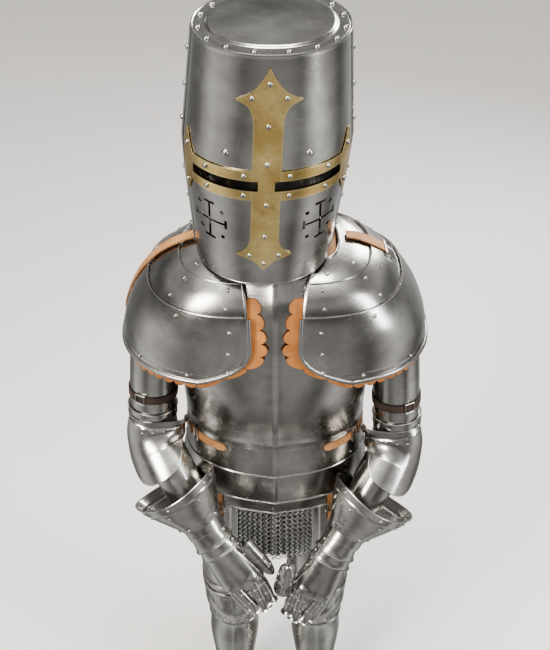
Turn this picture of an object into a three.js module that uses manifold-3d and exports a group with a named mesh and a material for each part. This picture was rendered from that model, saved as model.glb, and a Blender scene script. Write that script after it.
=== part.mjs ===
// Suit of plate armour: hollow steel plates, mail and leather on one standing figure.
// Millimetres, +Z up, the suit faces -Y and +X is the wearer's left.
import * as THREE from "three";
import { mergeVertices } from "three/addons/utils/BufferGeometryUtils.js";
import Module from "manifold-3d";

const wasm = await Module();
wasm.setup();

// Driving dimensions
const STEEL = 1.8;
const BRASS = 1.2;
const LEATHER = 2.0;
const MAIL = 2.4;
const GAP = 0.6;
const LAP = STEEL + GAP;
const SEAM_TURN = 0.0002;
const BODY_COLUMNS = 16;
const DOME_COLUMNS = 18;
const ARM_COLUMNS = 12;
const LEG_COLUMNS = 14;
const HELM_TOP = 1880.6;
const HELM_BASE = 1513.7;
const HELM_SEAM = 1692;
const HELM_KINK = 1715;
const CROSS_BAR = 21;
const SIGHT = { low: 1684, high: 1700, bar: 12, reach: 108 };
const FRAME = { low: 1669, high: 1716, tip: 24, reach: 121 };
const WAIST = 1128;
const FAULD_HEM = 962;
const MAIL_HEM = 815;
const STRAP_BAND = [1105, 1125];
const KNEE = 505;
const SOLE = 8;
const FINE_STEP = 1e-3;

// Torso sections: half width, front depth and back depth at each height
const TORSO = [
  { z: 800, half: 198, front: 152, back: 158 },
  { z: 880, half: 198, front: 149, back: 154 },
  { z: 962, half: 193, front: 144, back: 148 },
  { z: 1062, half: 179, front: 136, back: 134 },
  { z: 1128, half: 171, front: 131, back: 122 },
  { z: 1165, half: 172, front: 141, back: 124 },
  { z: 1230, half: 174, front: 158, back: 131 },
  { z: 1300, half: 175, front: 166, back: 139 },
  { z: 1370, half: 171, front: 157, back: 141 },
  { z: 1430, half: 162, front: 143, back: 133 },
  { z: 1470, half: 147, front: 127, back: 117 },
  { z: 1500, half: 122, front: 104, back: 95 },
];
const TORSO_POWER = 2.3;
const KEEL = { height: 6, spread: 22 };

// Helm sections, with the sideways lean of its axis
const HELM = [
  { z: 1513.7, half: 113.5, front: 139, back: 119, lean: -19 },
  { z: 1572, half: 118, front: 139.5, back: 126, lean: -17 },
  { z: 1657, half: 126.6, front: 140, back: 134, lean: -14 },
  { z: 1715, half: 130, front: 141, back: 138, lean: -11.5 },
  { z: 1880.6, half: 114, front: 124, back: 124, lean: -5 },
];
const HELM_POWER = 2.15;

// Brass cross: half width of the upright at each height
const CROSS = [
  { z: 1544, half: 0 },
  { z: 1556, half: 19 },
  { z: 1573, half: 41 },
  { z: 1577, half: 27 },
  { z: 1592, half: 21 },
  { z: 1669, half: 21 },
  { z: 1684, half: 21 },
  { z: 1700, half: 21 },
  { z: 1716, half: 21 },
  { z: 1798, half: 22 },
  { z: 1819, half: 48 },
  { z: 1824, half: 25 },
  { z: 1838, half: 15 },
  { z: 1864, half: 0 },
];

// Shoulder dome, from its lower edge (level 0) up to the neck (level 1)
const PAULDRON = [
  { level: -0.14, z: 1305, inner: 43, half: 231, front: 173, back: 158 },
  { level: 0, z: 1330, inner: 43, half: 228, front: 172, back: 158 },
  { level: 0.25, z: 1375, inner: 43, half: 221, front: 169, back: 158 },
  { level: 0.48, z: 1425, inner: 43, half: 198, front: 160, back: 152 },
  { level: 0.68, z: 1474, inner: 46, half: 154, front: 138, back: 133 },
  { level: 0.85, z: 1505, inner: 56, half: 92, front: 101, back: 102 },
  { level: 1, z: 1514.2, inner: 80, half: 28, front: 60, back: 62 },
];
const PAULDRON_POWER = 2.4;
const PAULDRON_CORNER = [
  { level: 0, cut: 0.07 },
  { level: 0.1, cut: 0.025 },
  { level: 0.25, cut: 0.008 },
  { level: 0.48, cut: 0 },
];
const RIM_LENGTH = 600;
const LINING = { top: 0.72, upright: 0.18, scallops: 38, reach: 19, under: 22, rise: 184 };
const WING = { turn: 0.58, width: 0.24, up: 0.05, down: 0.2, lift: 30 };
const FINGERS = { first: 2 / 12, last: 10 / 12, groove: 3 };
const THUMB = 14;

// Arm sections along shoulder (0), elbow (1), wrist (2) and fingertips (3)
const ARM = [
  { stage: 0, deep: 48, wide: 42 },
  { stage: 0.5, deep: 48, wide: 44 },
  { stage: 0.85, deep: 46, wide: 43 },
  { stage: 1, deep: 44, wide: 42 },
  { stage: 1.15, deep: 43, wide: 41 },
  { stage: 1.5, deep: 41, wide: 39 },
  { stage: 1.9, deep: 34, wide: 36 },
  { stage: 2, deep: 32, wide: 37 },
  { stage: 2.2, deep: 30, wide: 43 },
  { stage: 2.5, deep: 28, wide: 49 },
  { stage: 2.75, deep: 25, wide: 47 },
  { stage: 3, deep: 20, wide: 38 },
];
const ARM_BENDS = [100, 120];
const POSES = {
  l: {
    shoulder: [210.6, -8, 1400],
    elbow: [238, -60, 1080],
    wrist: [122, -200, 934],
    tips: [42, -270, 790],
    thumb: { stage: 2.62, tip: [24, -252, 948], seat: -1.3 },
  },
  r: {
    shoulder: [210.6, -8, 1400],
    elbow: [236, -60, 1110],
    wrist: [124, -200, 962],
    tips: [22, -266, 822],
    thumb: { stage: 2.28, tip: [2, -242, 899], seat: 0.4 },
  },
};
const CUFF_FLARE = [
  { stage: 1.42, lift: 52 },
  { stage: 1.58, lift: 38 },
  { stage: 1.74, lift: 19 },
  { stage: 1.87, lift: 3.8 },
  { stage: 1.96, lift: 2.2 },
];

// Leg sections: axis and radii at each height
const LEG = [
  { z: 94, side: 106, axis: 4, half: 45, front: 47, back: 47 },
  { z: 150, side: 106, axis: 4, half: 43, front: 43, back: 46 },
  { z: 230, side: 104, axis: 6, half: 51, front: 48, back: 57 },
  { z: 330, side: 102, axis: 6, half: 60, front: 54, back: 70 },
  { z: 400, side: 100, axis: 2, half: 59, front: 56, back: 66 },
  { z: 460, side: 98, axis: -6, half: 59, front: 58, back: 58 },
  { z: 505, side: 98, axis: -8, half: 61, front: 58, back: 56 },
  { z: 600, side: 98, axis: -8, half: 67, front: 68, back: 63 },
  { z: 700, side: 98, axis: -6, half: 76, front: 78, back: 74 },
  { z: 800, side: 99, axis: -2, half: 84, front: 86, back: 84 },
  { z: 900, side: 99, axis: 0, half: 85, front: 87, back: 86 },
];
const FOOT = [
  { stage: 0, half: 45, deep: 47 },
  { stage: 0.35, half: 45, deep: 46 },
  { stage: 1, half: 47, deep: 40 },
  { stage: 1.3, half: 50, deep: 34 },
  { stage: 1.7, half: 47, deep: 27 },
  { stage: 1.9, half: 33, deep: 20 },
  { stage: 2, half: 6, deep: 6 },
];

const finish = (color, roughness, metalness) => () =>
  new THREE.MeshStandardMaterial({ color, roughness, metalness });
const steel = finish(0x9a9a97, 0.32, 1);
const brass = finish(0xb99a4e, 0.3, 1);
const leather = finish(0xb9793c, 0.75, 0);
const darkLeather = finish(0x2a1d17, 0.8, 0);
const mail = finish(0x77787a, 0.45, 1);

const lerp = THREE.MathUtils.lerp;
const clamp = THREE.MathUtils.clamp;
const vector = (list) => new THREE.Vector3(...list);

// A smooth curve through one column of a table
function column(rows, key, name) {
  const last = rows.length - 1;
  const slope = (index) => {
    const before = rows[Math.max(index - 1, 0)];
    const after = rows[Math.min(index + 1, last)];
    return (after[name] - before[name]) / (after[key] - before[key]);
  };
  return (at) => {
    let index = 0;
    while (index < last - 1 && at > rows[index + 1][key]) index += 1;
    const low = rows[index];
    const high = rows[index + 1];
    const span = high[key] - low[key];
    const t = clamp((at - low[key]) / span, 0, 1);
    const t2 = t * t;
    const t3 = t2 * t;
    return low[name] * (2 * t3 - 3 * t2 + 1)
      + slope(index) * span * (t3 - 2 * t2 + t)
      + high[name] * (3 * t2 - 2 * t3)
      + slope(index + 1) * span * (t3 - t2);
  };
}

// A straight line through one column of a table
function ramp(rows, key, name) {
  return (at) => {
    let index = 0;
    while (index < rows.length - 2 && at > rows[index + 1][key]) index += 1;
    const low = rows[index];
    const high = rows[index + 1];
    const t = clamp((at - low[key]) / (high[key] - low[key]), 0, 1);
    return lerp(low[name], high[name], t);
  };
}

const powered = (value, power) => Math.sign(value) * Math.abs(value) ** (2 / power);

// Body surface around the torso: turn 0 to 1 is the front, 1 to 2 the back
function roundBody(rows, power, pick, keel) {
  const half = pick(rows, "z", "half");
  const front = pick(rows, "z", "front");
  const back = pick(rows, "z", "back");
  const lean = rows[0].lean === undefined ? () => 0 : pick(rows, "z", "lean");
  return (turn, z) => {
    const angle = Math.PI * turn;
    const sine = Math.sin(angle);
    const x = -half(z) * powered(Math.cos(angle), power);
    const depth = sine > 0 ? front(z) : back(z);
    const ridge = sine > 0 ? keel * Math.exp(-Math.abs(x) / KEEL.spread) : 0;
    return new THREE.Vector3(x + lean(z), -depth * powered(sine, power) - ridge, z);
  };
}
const torso = roundBody(TORSO, TORSO_POWER, column, KEEL.height);
const helm = roundBody(HELM, HELM_POWER, ramp, 0);

function pauldronDome() {
  const pick = (name) => column(PAULDRON, "level", name);
  const height = pick("z");
  const inner = pick("inner");
  const half = pick("half");
  const front = pick("front");
  const back = pick("back");
  return (turn, level) => {
    const angle = Math.PI * turn;
    const cosine = Math.cos(angle);
    const depth = cosine > 0 ? front(level) : back(level);
    const x = inner(level) + half(level) * powered(Math.sin(angle), PAULDRON_POWER);
    return new THREE.Vector3(x, -depth * powered(cosine, PAULDRON_POWER), height(level));
  };
}
const dome = pauldronDome();

function legTube() {
  const pick = (name) => column(LEG, "z", name);
  const side = pick("side");
  const axis = pick("axis");
  const half = pick("half");
  const front = pick("front");
  const back = pick("back");
  return (turn, z) => {
    const angle = Math.PI * turn;
    const sine = Math.sin(angle);
    const depth = sine > 0 ? front(z) : back(z);
    return new THREE.Vector3(side(z) - half(z) * Math.cos(angle), axis(z) - depth * sine, z);
  };
}
const leg = legTube();

// Straight stretches between corners, joined by arcs; stage counts the corners
function bentPath(corners, bends) {
  const pieces = [];
  const marks = [0];
  let length = 0;
  let from = corners[0];
  const run = (start, heading, distance) => {
    pieces.push({ at: length, distance, start, heading });
    length += distance;
  };
  bends.forEach((radius, index) => {
    const corner = corners[index + 1];
    const before = corner.clone().sub(from).normalize();
    const after = corners[index + 2].clone().sub(corner).normalize();
    const bend = before.angleTo(after);
    const cut = radius * Math.tan(bend / 2);
    const start = corner.clone().addScaledVector(before, -cut);
    run(from, before, start.distanceTo(from));
    const aside = after.clone().addScaledVector(before, -before.dot(after)).normalize();
    pieces.push({ at: length, distance: radius * bend, start, heading: before, aside, radius });
    marks.push(length + (radius * bend) / 2);
    length += radius * bend;
    from = corner.clone().addScaledVector(after, cut);
  });
  const end = corners[corners.length - 1];
  run(from, end.clone().sub(from).normalize(), end.distanceTo(from));
  marks.push(length);
  return (stage) => {
    const part = clamp(Math.floor(stage), 0, marks.length - 2);
    const at = lerp(marks[part], marks[part + 1], stage - part);
    const piece = pieces.findLast((one) => one.at <= at) ?? pieces[0];
    const gone = at - piece.at;
    if (!piece.radius) {
      return { point: piece.start.clone().addScaledVector(piece.heading, gone), heading: piece.heading };
    }
    const swing = gone / piece.radius;
    const point = piece.start.clone()
      .addScaledVector(piece.heading, piece.radius * Math.sin(swing))
      .addScaledVector(piece.aside, piece.radius * (1 - Math.cos(swing)));
    const heading = piece.heading.clone().multiplyScalar(Math.cos(swing))
      .addScaledVector(piece.aside, Math.sin(swing));
    return { point, heading };
  };
}

// A tube around a path: turn 0 looks along the guide direction
function pathTube(path, guide, deep, wide) {
  return (turn, stage) => {
    const { point, heading } = path(stage);
    const ahead = guide.clone().addScaledVector(heading, -guide.dot(heading)).normalize();
    const across = heading.clone().cross(ahead);
    const angle = 2 * Math.PI * turn;
    return point.clone()
      .addScaledVector(ahead, deep(stage) * Math.cos(angle))
      .addScaledVector(across, wide(stage) * Math.sin(angle));
  };
}

function armTube(pose) {
  const corners = [pose.shoulder, pose.elbow, pose.wrist, pose.tips].map(vector);
  const path = bentPath(corners, ARM_BENDS);
  const deep = column(ARM, "stage", "deep");
  const wide = column(ARM, "stage", "wide");
  return pathTube(path, new THREE.Vector3(0, 1, 0), deep, wide);
}

function footTube() {
  const ankle = LEG[0];
  const corners = [
    [ankle.side, ankle.axis, ankle.z - GAP],
    [ankle.side, ankle.axis, 45],
    [ankle.side + 12, -205, 24],
  ].map(vector);
  const path = bentPath(corners, [52]);
  const half = column(FOOT, "stage", "half");
  const deep = column(FOOT, "stage", "deep");
  return pathTube(path, new THREE.Vector3(1, 0, 0), half, deep);
}

// A point of a surface moved out along its normal
function raised(surface, turn, place, lift) {
  const step = FINE_STEP;
  const around = surface(turn + step, place).sub(surface(turn - step, place));
  const along = surface(turn, place + step).sub(surface(turn, place - step));
  const out = around.cross(along).normalize();
  return surface(turn, place).addScaledVector(out, lift);
}

function weld(positions, indices) {
  const raw = new THREE.BufferGeometry();
  raw.setAttribute("position", new THREE.Float32BufferAttribute(positions, 3));
  raw.setIndex(indices);
  const merged = mergeVertices(raw, 1e-3);
  const source = merged.getIndex().array;
  const kept = [];
  for (let i = 0; i < source.length; i += 3) {
    const [a, b, c] = [source[i], source[i + 1], source[i + 2]];
    if (a !== b && b !== c && c !== a) kept.push(a, b, c);
  }
  merged.setIndex(kept);
  return merged;
}

// A flat net of [turn, place] points laid on a surface and given a wall
function thicken(net, faces, surface, lift, wall) {
  const liftOf = typeof lift === "function" ? lift : () => lift;
  const positions = [];
  net.forEach(([turn, place]) => {
    positions.push(...raised(surface, turn, place, liftOf(turn, place)).toArray());
  });
  net.forEach(([turn, place]) => {
    positions.push(...raised(surface, turn, place, liftOf(turn, place) - wall).toArray());
  });
  const under = net.length;
  const indices = [];
  const edges = new Map();
  faces.forEach((face) => {
    for (let i = 1; i < face.length - 1; i += 1) {
      const [a, b, c] = [face[0], face[i], face[i + 1]];
      indices.push(a, b, c, c + under, b + under, a + under);
    }
    face.forEach((from, i) => {
      const to = face[(i + 1) % face.length];
      if (edges.has(`${to},${from}`)) edges.delete(`${to},${from}`);
      else edges.set(`${from},${to}`, [from, to]);
    });
  });
  edges.forEach(([from, to]) => {
    indices.push(to, from, from + under, to, from + under, to + under);
  });
  return weld(positions, indices);
}

const plain = (turn, place) => [turn, place];
const evenly = (low, high, count) => Array.from({ length: count + 1 }, (_, i) => lerp(low, high, i / count));
const ringOf = (count, whole) => Array.from({ length: count }, (_, i) => (whole * i) / count);
const steps = (low, high, count) => evenly(low / count, high / count, high - low);

// A grid on a surface, at the given turns and places
function plate(surface, { turns, places, ring = false, lift = 0, wall = STEEL, outline = plain }) {
  const net = [];
  const cols = ring ? turns.length : turns.length - 1;
  const rows = places.length - 1;
  const width = turns.length;
  places.forEach((place) => turns.forEach((turn) => net.push(outline(turn, place))));
  const faces = [];
  for (let row = 0; row < rows; row += 1) {
    for (let col = 0; col < cols; col += 1) {
      const a = row * width + col;
      const b = row * width + ((col + 1) % width);
      faces.push([a, b, b + width, a + width]);
    }
  }
  return thicken(net, faces, surface, lift, wall);
}

function toSolid(geometry) {
  const mesh = new wasm.Mesh({
    numProp: 3,
    vertProperties: new Float32Array(geometry.getAttribute("position").array),
    triVerts: new Uint32Array(geometry.getIndex().array),
  });
  return new wasm.Manifold(mesh);
}

function toGeometry(solid) {
  const mesh = solid.getMesh();
  const geometry = new THREE.BufferGeometry();
  geometry.setAttribute("position", new THREE.Float32BufferAttribute(mesh.vertProperties, 3));
  geometry.setIndex([...mesh.triVerts]);
  return geometry;
}

function mirrored(geometry) {
  const copy = geometry.clone();
  copy.applyMatrix4(new THREE.Matrix4().makeScale(-1, 1, 1));
  const index = copy.getIndex().array;
  for (let i = 0; i < index.length; i += 3) [index[i], index[i + 1]] = [index[i + 1], index[i]];
  return copy;
}

const suit = new THREE.Group();
suit.name = "plate_armour_suit";

function add(name, geometry, material) {
  const mesh = new THREE.Mesh(geometry, material());
  mesh.name = name;
  mesh.geometry.computeVertexNormals();
  suit.add(mesh);
}

function addPair(name, build, material) {
  const geometry = build();
  add(`${name}_l`, geometry, material);
  add(`${name}_r`, mirrored(geometry), material);
}

// Turn of the helm surface at a distance from its middle
function helmTurn(x, z) {
  const half = ramp(HELM, "z", "half")(z);
  const angle = Math.acos(Math.min(Math.abs(x) / half, 1) ** (HELM_POWER / 2));
  return x < 0 ? angle / Math.PI : 1 - angle / Math.PI;
}

// Columns shared by the helm plates and the cross that lies on them
const SIGHT_END = helmTurn(-SIGHT.reach, SIGHT.low);
const BAR_EDGE = helmTurn(-CROSS_BAR, SIGHT.low);
const HALF_TURNS = [SEAM_TURN, 0.065, 0.125, ...evenly(SIGHT_END, BAR_EDGE, 4), 0.5];
const HELM_TURNS = [...HALF_TURNS, ...HALF_TURNS.slice(0, -1).map((turn) => 1 - turn).reverse()];
const BACK_TURNS = [1 + SEAM_TURN, ...steps(15, 27, 14), 2 - SEAM_TURN];

function sightCutter(side) {
  const reach = [side * SIGHT.bar, side * SIGHT.reach].map((x) => helmTurn(x, SIGHT.low)).sort((a, b) => a - b);
  const options = { turns: evenly(reach[0], reach[1], 6), places: [SIGHT.low, SIGHT.high], lift: 8, wall: 20 };
  return toSolid(plate(helm, options));
}

function withSights(geometry) {
  return toGeometry([-1, 1].reduce((solid, side) => solid.subtract(sightCutter(side)), toSolid(geometry)));
}

function helmLid() {
  const rings = [
    { fraction: 1, rise: 0 },
    { fraction: 0.86, rise: 0 },
    { fraction: 0.82, rise: 4 },
    { fraction: 0.4, rise: 6 },
    { fraction: 0, rise: 6.5 },
  ];
  const middle = new THREE.Vector3(HELM.at(-1).lean, 0, HELM_TOP);
  const positions = [];
  const indices = [];
  const rims = ringOf(28, 2);
  [0, -STEEL].forEach((drop) => {
    rings.forEach(({ fraction, rise }) => {
      rims.forEach((turn) => {
        const point = middle.clone().lerp(helm(turn, HELM_TOP), fraction);
        positions.push(point.x, point.y, HELM_TOP + rise + drop);
      });
    });
  });
  const under = rings.length * rims.length;
  const at = (ring, col) => ring * rims.length + (col % rims.length);
  rims.forEach((_, col) => {
    for (let ring = 0; ring < rings.length - 1; ring += 1) {
      const [a, b, c, d] = [at(ring, col), at(ring, col + 1), at(ring + 1, col + 1), at(ring + 1, col)];
      indices.push(a, b, c, a, c, d, c + under, b + under, a + under, d + under, c + under, a + under);
    }
    const [a, b] = [at(0, col), at(0, col + 1)];
    indices.push(b, a, a + under, b, a + under, b + under);
  });
  return weld(positions, indices);
}

// The cross as one net: an upright of five columns and a frame round each sight
function crossNet() {
  const net = [];
  const faces = [];
  CROSS.forEach(({ z, half }) => {
    const inner = Math.min(half, SIGHT.bar);
    [-half, -inner, 0, inner, half].forEach((x) => net.push([x === 0 ? 0.5 : helmTurn(x, z), z]));
  });
  for (let row = 0; row < CROSS.length - 1; row += 1) {
    const slit = CROSS[row].z === SIGHT.low;
    for (let col = slit ? 1 : 0; col < (slit ? 3 : 4); col += 1) {
      const a = row * 5 + col;
      faces.push([a, a + 1, a + 6, a + 5]);
    }
  }
  [-1, 1].forEach((side) => addSightFrame(net, faces, side));
  return { net, faces };
}

// Bands above and below one sight, the end piece and its two points
function addSightFrame(net, faces, side) {
  const levels = [FRAME.low, SIGHT.low, SIGHT.high, FRAME.high];
  const bands = HELM_TURNS.filter((turn) => {
    const away = (turn - 0.5) * side;
    return away > 0.5 - BAR_EDGE + 1e-6 && away < 0.5 - SIGHT_END + 1e-6;
  });
  const turns = [...bands, helmTurn(side * FRAME.reach, SIGHT.low)].sort((a, b) => (a - b) * side);
  const ladder = levels.map((z) => {
    const row = CROSS.findIndex((one) => one.z === z);
    const first = row * 5 + (side > 0 ? 4 : 0);
    return [first, ...turns.map((turn) => net.push([turn, z]) - 1)];
  });
  const last = turns.length;
  const turned = (face) => faces.push(side > 0 ? face : face.reverse());
  for (let level = 0; level < 3; level += 1) {
    const [low, high] = [ladder[level], ladder[level + 1]];
    const from = level === 1 ? last - 1 : 0;
    for (let col = from; col < last; col += 1) turned([low[col], low[col + 1], high[col + 1], high[col]]);
  }
  const tip = helmTurn(side * (FRAME.reach - 4), SIGHT.low);
  const top = net.push([tip, FRAME.high + FRAME.tip]) - 1;
  const bottom = net.push([tip, FRAME.low - FRAME.tip]) - 1;
  turned([ladder[3][last - 1], ladder[3][last], top]);
  turned([ladder[0][last], ladder[0][last - 1], bottom]);
}

function buildHelm() {
  const crown = [HELM_SEAM + 0.15, HELM_KINK, HELM_TOP - STEEL - 0.4];
  const face = [HELM_BASE, 1572, 1657, HELM_SEAM - 0.15];
  add("helm_top", helmLid(), steel);
  add("helm_upper_front", withSights(plate(helm, { turns: HELM_TURNS, places: crown })), steel);
  add("helm_lower_front", withSights(plate(helm, { turns: HELM_TURNS, places: face })), steel);
  add("helm_upper_back", plate(helm, { turns: BACK_TURNS, places: crown }), steel);
  add("helm_lower_back", plate(helm, { turns: BACK_TURNS, places: face }), steel);
  const { net, faces } = crossNet();
  add("helm_cross", thicken(net, faces, helm, 2 * GAP + BRASS, BRASS), brass);
}

const FRONT_TURNS = [SEAM_TURN, ...steps(1, BODY_COLUMNS - 1, BODY_COLUMNS), 1 - SEAM_TURN];
const REAR_TURNS = FRONT_TURNS.map((turn) => turn + 1);

// Top edge of the cuirass from armpit over the shoulder to the neckline
const CUIRASS_TOP = [
  { turn: 0, front: 1338, back: 1346 },
  { turn: 0.1, front: 1372, back: 1384 },
  { turn: 0.17, front: 1440, back: 1445 },
  { turn: 0.24, front: 1486, back: 1488 },
  { turn: 0.33, front: 1494, back: 1494 },
  { turn: 0.42, front: 1480, back: 1490 },
  { turn: 0.5, front: 1476, back: 1488 },
];

function cuirassOutline(name) {
  const top = ramp(CUIRASS_TOP, "turn", name);
  return (turn, share) => {
    const around = turn % 1;
    return [turn, lerp(WAIST, top(Math.min(around, 1 - around)), share)];
  };
}

function buildCuirass() {
  const chest = { turns: FRONT_TURNS, places: evenly(0, 1, 8), outline: cuirassOutline("front") };
  const spine = { turns: REAR_TURNS, places: evenly(0, 1, 6), outline: cuirassOutline("back") };
  add("breastplate", plate(torso, chest), steel);
  add("backplate", plate(torso, spine), steel);
  const rows = [[1062, ...STRAP_BAND, 1136], [992, 1062, 1070], [FAULD_HEM, 992, 1000]];
  rows.forEach((places, index) => {
    const lame = plate(torso, { turns: FRONT_TURNS, places, lift: -LAP * (index + 1) });
    add(`fauld_lame_${index + 1}`, lame, steel);
  });
  const culet = [FAULD_HEM, 992, 1062, ...STRAP_BAND, 1136];
  add("culet", plate(torso, { turns: REAR_TURNS, places: culet, lift: -LAP }), steel);
  const skirt = { turns: ringOf(2 * BODY_COLUMNS, 2), places: [MAIL_HEM, 880, FAULD_HEM, 984], ring: true };
  add("mail_skirt", plate(torso, { ...skirt, lift: -LAP * 4, wall: MAIL }), mail);
}

function tasset() {
  const low = column([{ share: 0, low: 828 }, { share: 0.5, low: 802 }, { share: 1, low: 828 }], "share", "low");
  const ends = [9.8, 13.8].map((column) => column / BODY_COLUMNS);
  const turns = [ends[0], ...steps(10, 13, BODY_COLUMNS), ends[1]];
  const outline = (turn, t) => {
    const share = (turn - ends[0]) / (ends[1] - ends[0]);
    return [turn, lerp(low(share), FAULD_HEM - 5, t)];
  };
  return plate(torso, { turns, places: [0, 0.5, 1], lift: -LAP * 3, outline });
}

// A pointed strap from the middle of the back round to the front of the waist
function waistStrap() {
  const tip = 11.1 / BODY_COLUMNS;
  const shoulder = 11.35 / BODY_COLUMNS;
  const turns = [tip, shoulder, ...steps(12, 20, BODY_COLUMNS)];
  const middle = (STRAP_BAND[0] + STRAP_BAND[1]) / 2;
  const outline = (turn, z) => [turn, turn === tip ? lerp(middle, z, 0.15) : z];
  return plate(torso, { turns, places: STRAP_BAND, lift: LEATHER + GAP - LAP, wall: LEATHER, outline });
}

// Shoulder strap: it lies on the breastplate, arches over the gap and lies on the backplate
const STRAP_ARCH = [
  { t: 0, reach: 1, z: 1464 },
  { t: 0.12, reach: 1, z: 1478 },
  { t: 0.22, reach: 1, z: 1491 },
  { t: 0.32, reach: 0.8, z: 1500 },
  { t: 0.42, reach: 0.5, z: 1505 },
  { t: 0.5, reach: 0, z: 1505.5 },
];

function torsoDepth(x, z, name) {
  const share = Math.abs(x) / column(TORSO, "z", "half")(z);
  return column(TORSO, "z", name)(z) * (1 - share ** TORSO_POWER) ** (1 / TORSO_POWER);
}

function shoulderStrap() {
  const reach = ramp(STRAP_ARCH, "t", "reach");
  const height = ramp(STRAP_ARCH, "t", "z");
  const arch = (across, t) => {
    const x = lerp(79, 103, across);
    const near = Math.min(t, 1 - t);
    const side = t < 0.5 ? -1 : 1;
    const depth = torsoDepth(x, Math.min(height(near), 1491), t < 0.5 ? "front" : "back");
    return new THREE.Vector3(x, side * reach(near) * (depth + 1.5), height(near));
  };
  const half = STRAP_ARCH.map((row) => row.t);
  const places = [...half, ...half.slice(0, -1).map((one) => 1 - one).reverse()];
  return plate(arch, { turns: [0, 0.5, 1], places, lift: LEATHER, wall: LEATHER });
}

const cornerCut = ramp(PAULDRON_CORNER, "level", "cut");

function pauldronPlate(places, lift) {
  const outline = (share, level) => [lerp(cornerCut(level), 1 - cornerCut(level), share), level];
  return plate(dome, { turns: evenly(0, 1, DOME_COLUMNS), places, lift, outline });
}

// A place on the rim of the main plate, front top to back top, moved out by a distance
function pauldronRim(share, out) {
  if (share > 0.5) {
    const [turn, level] = pauldronRim(1 - share, out);
    return [1 - turn, level];
  }
  const outTurn = out / RIM_LENGTH;
  const outLevel = out / LINING.rise;
  if (share < LINING.upright) {
    const level = lerp(LINING.top, 0, share / LINING.upright);
    const low = clamp(1 - level / 0.3, 0, 1);
    return [cornerCut(level) - outTurn * (1 - low), level - outLevel * low];
  }
  const along = (share - LINING.upright) / (1 - 2 * LINING.upright);
  return [lerp(cornerCut(0), 1 - cornerCut(0), along), -outLevel];
}

function scallopedLining() {
  const count = 2 * LINING.scallops;
  const outline = (step, edge) => {
    const tooth = step % 2 === 0 ? 0.62 : 1;
    return pauldronRim(1 - step / count, lerp(-LINING.under, tooth * LINING.reach, edge));
  };
  const turns = evenly(0, count, count);
  const lift = (turn, level) => -LAP - 1.3 - 2 * LAP * clamp((level - 0.3) / 0.2, 0, 1);
  return plate(dome, { turns, places: [0, 1], lift, wall: LEATHER, outline });
}

function buildShoulders() {
  const main = [0, 0.1, 0.25, 0.42, 0.57, 0.6];
  addPair("pauldron_main", () => pauldronPlate(main, 0), steel);
  addPair("pauldron_lame_mid", () => pauldronPlate([0.57, 0.6, 0.77, 0.8], -LAP), steel);
  addPair("pauldron_lame_upper", () => pauldronPlate([0.77, 0.8, 0.88, 1], -2 * LAP), steel);
  addPair("pauldron_lining", scallopedLining, leather);
}

// The couter's wing is a rounded lobe over the crook of the elbow
const wingShape = (turn, width) => Math.sqrt(Math.max(0, 1 - ((turn - WING.turn) / width) ** 2));

function couterOutline(turn, share) {
  const wing = wingShape(turn, WING.width);
  return [turn, lerp(0.84 - WING.up * wing, 1.17 + WING.down * wing, share)];
}

function couterLift(turn, stage) {
  const point = Math.exp(-((turn / 0.13) ** 2) - ((stage - 1) / 0.08) ** 2);
  const flare = wingShape(turn, WING.width + 0.04) * clamp((stage - 0.92) / 0.3, 0, 1);
  return LAP + 0.2 + 9 * point + WING.lift * flare;
}

function cuffLift(turn, stage) {
  const flare = ramp(CUFF_FLARE, "stage", "lift")(stage);
  const tip = Math.exp(-(((turn - 0.25) / 0.1) ** 2));
  const away = turn > 0.6 ? turn - 1 : turn;
  const inner = Math.exp(-(((away + 0.08) / 0.15) ** 4));
  return LAP + (flare - LAP) * (1 + 0.25 * tip - inner);
}

// Four fingers raised side by side beyond the knuckles
function fingerLift(turn, stage) {
  const finger = ((turn - FINGERS.first) / (FINGERS.last - FINGERS.first)) * 4;
  const groove = 1 - Math.abs(Math.sin(Math.PI * finger));
  return -3 * LAP - 0.8 - FINGERS.groove * groove * clamp((stage - 2.62) / 0.1, 0, 1);
}

function thumbPlate(arm, { stage, tip, seat }) {
  const base = raised(arm, 0.75, stage, THUMB + seat - 2 * LAP);
  const path = bentPath([base, base.clone().lerp(vector(tip), 0.5), vector(tip)], [1]);
  const size = (at) => THUMB * Math.sqrt(clamp(1 - (Math.max(at - 1.3, 0) / 0.72) ** 2, 0.04, 1));
  const tube = pathTube(path, new THREE.Vector3(0, 1, 0), size, size);
  return plate(tube, { turns: evenly(0.12, 0.88, 8), places: [0, 0.7, 1.3, 1.6, 1.85, 2] });
}

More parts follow.
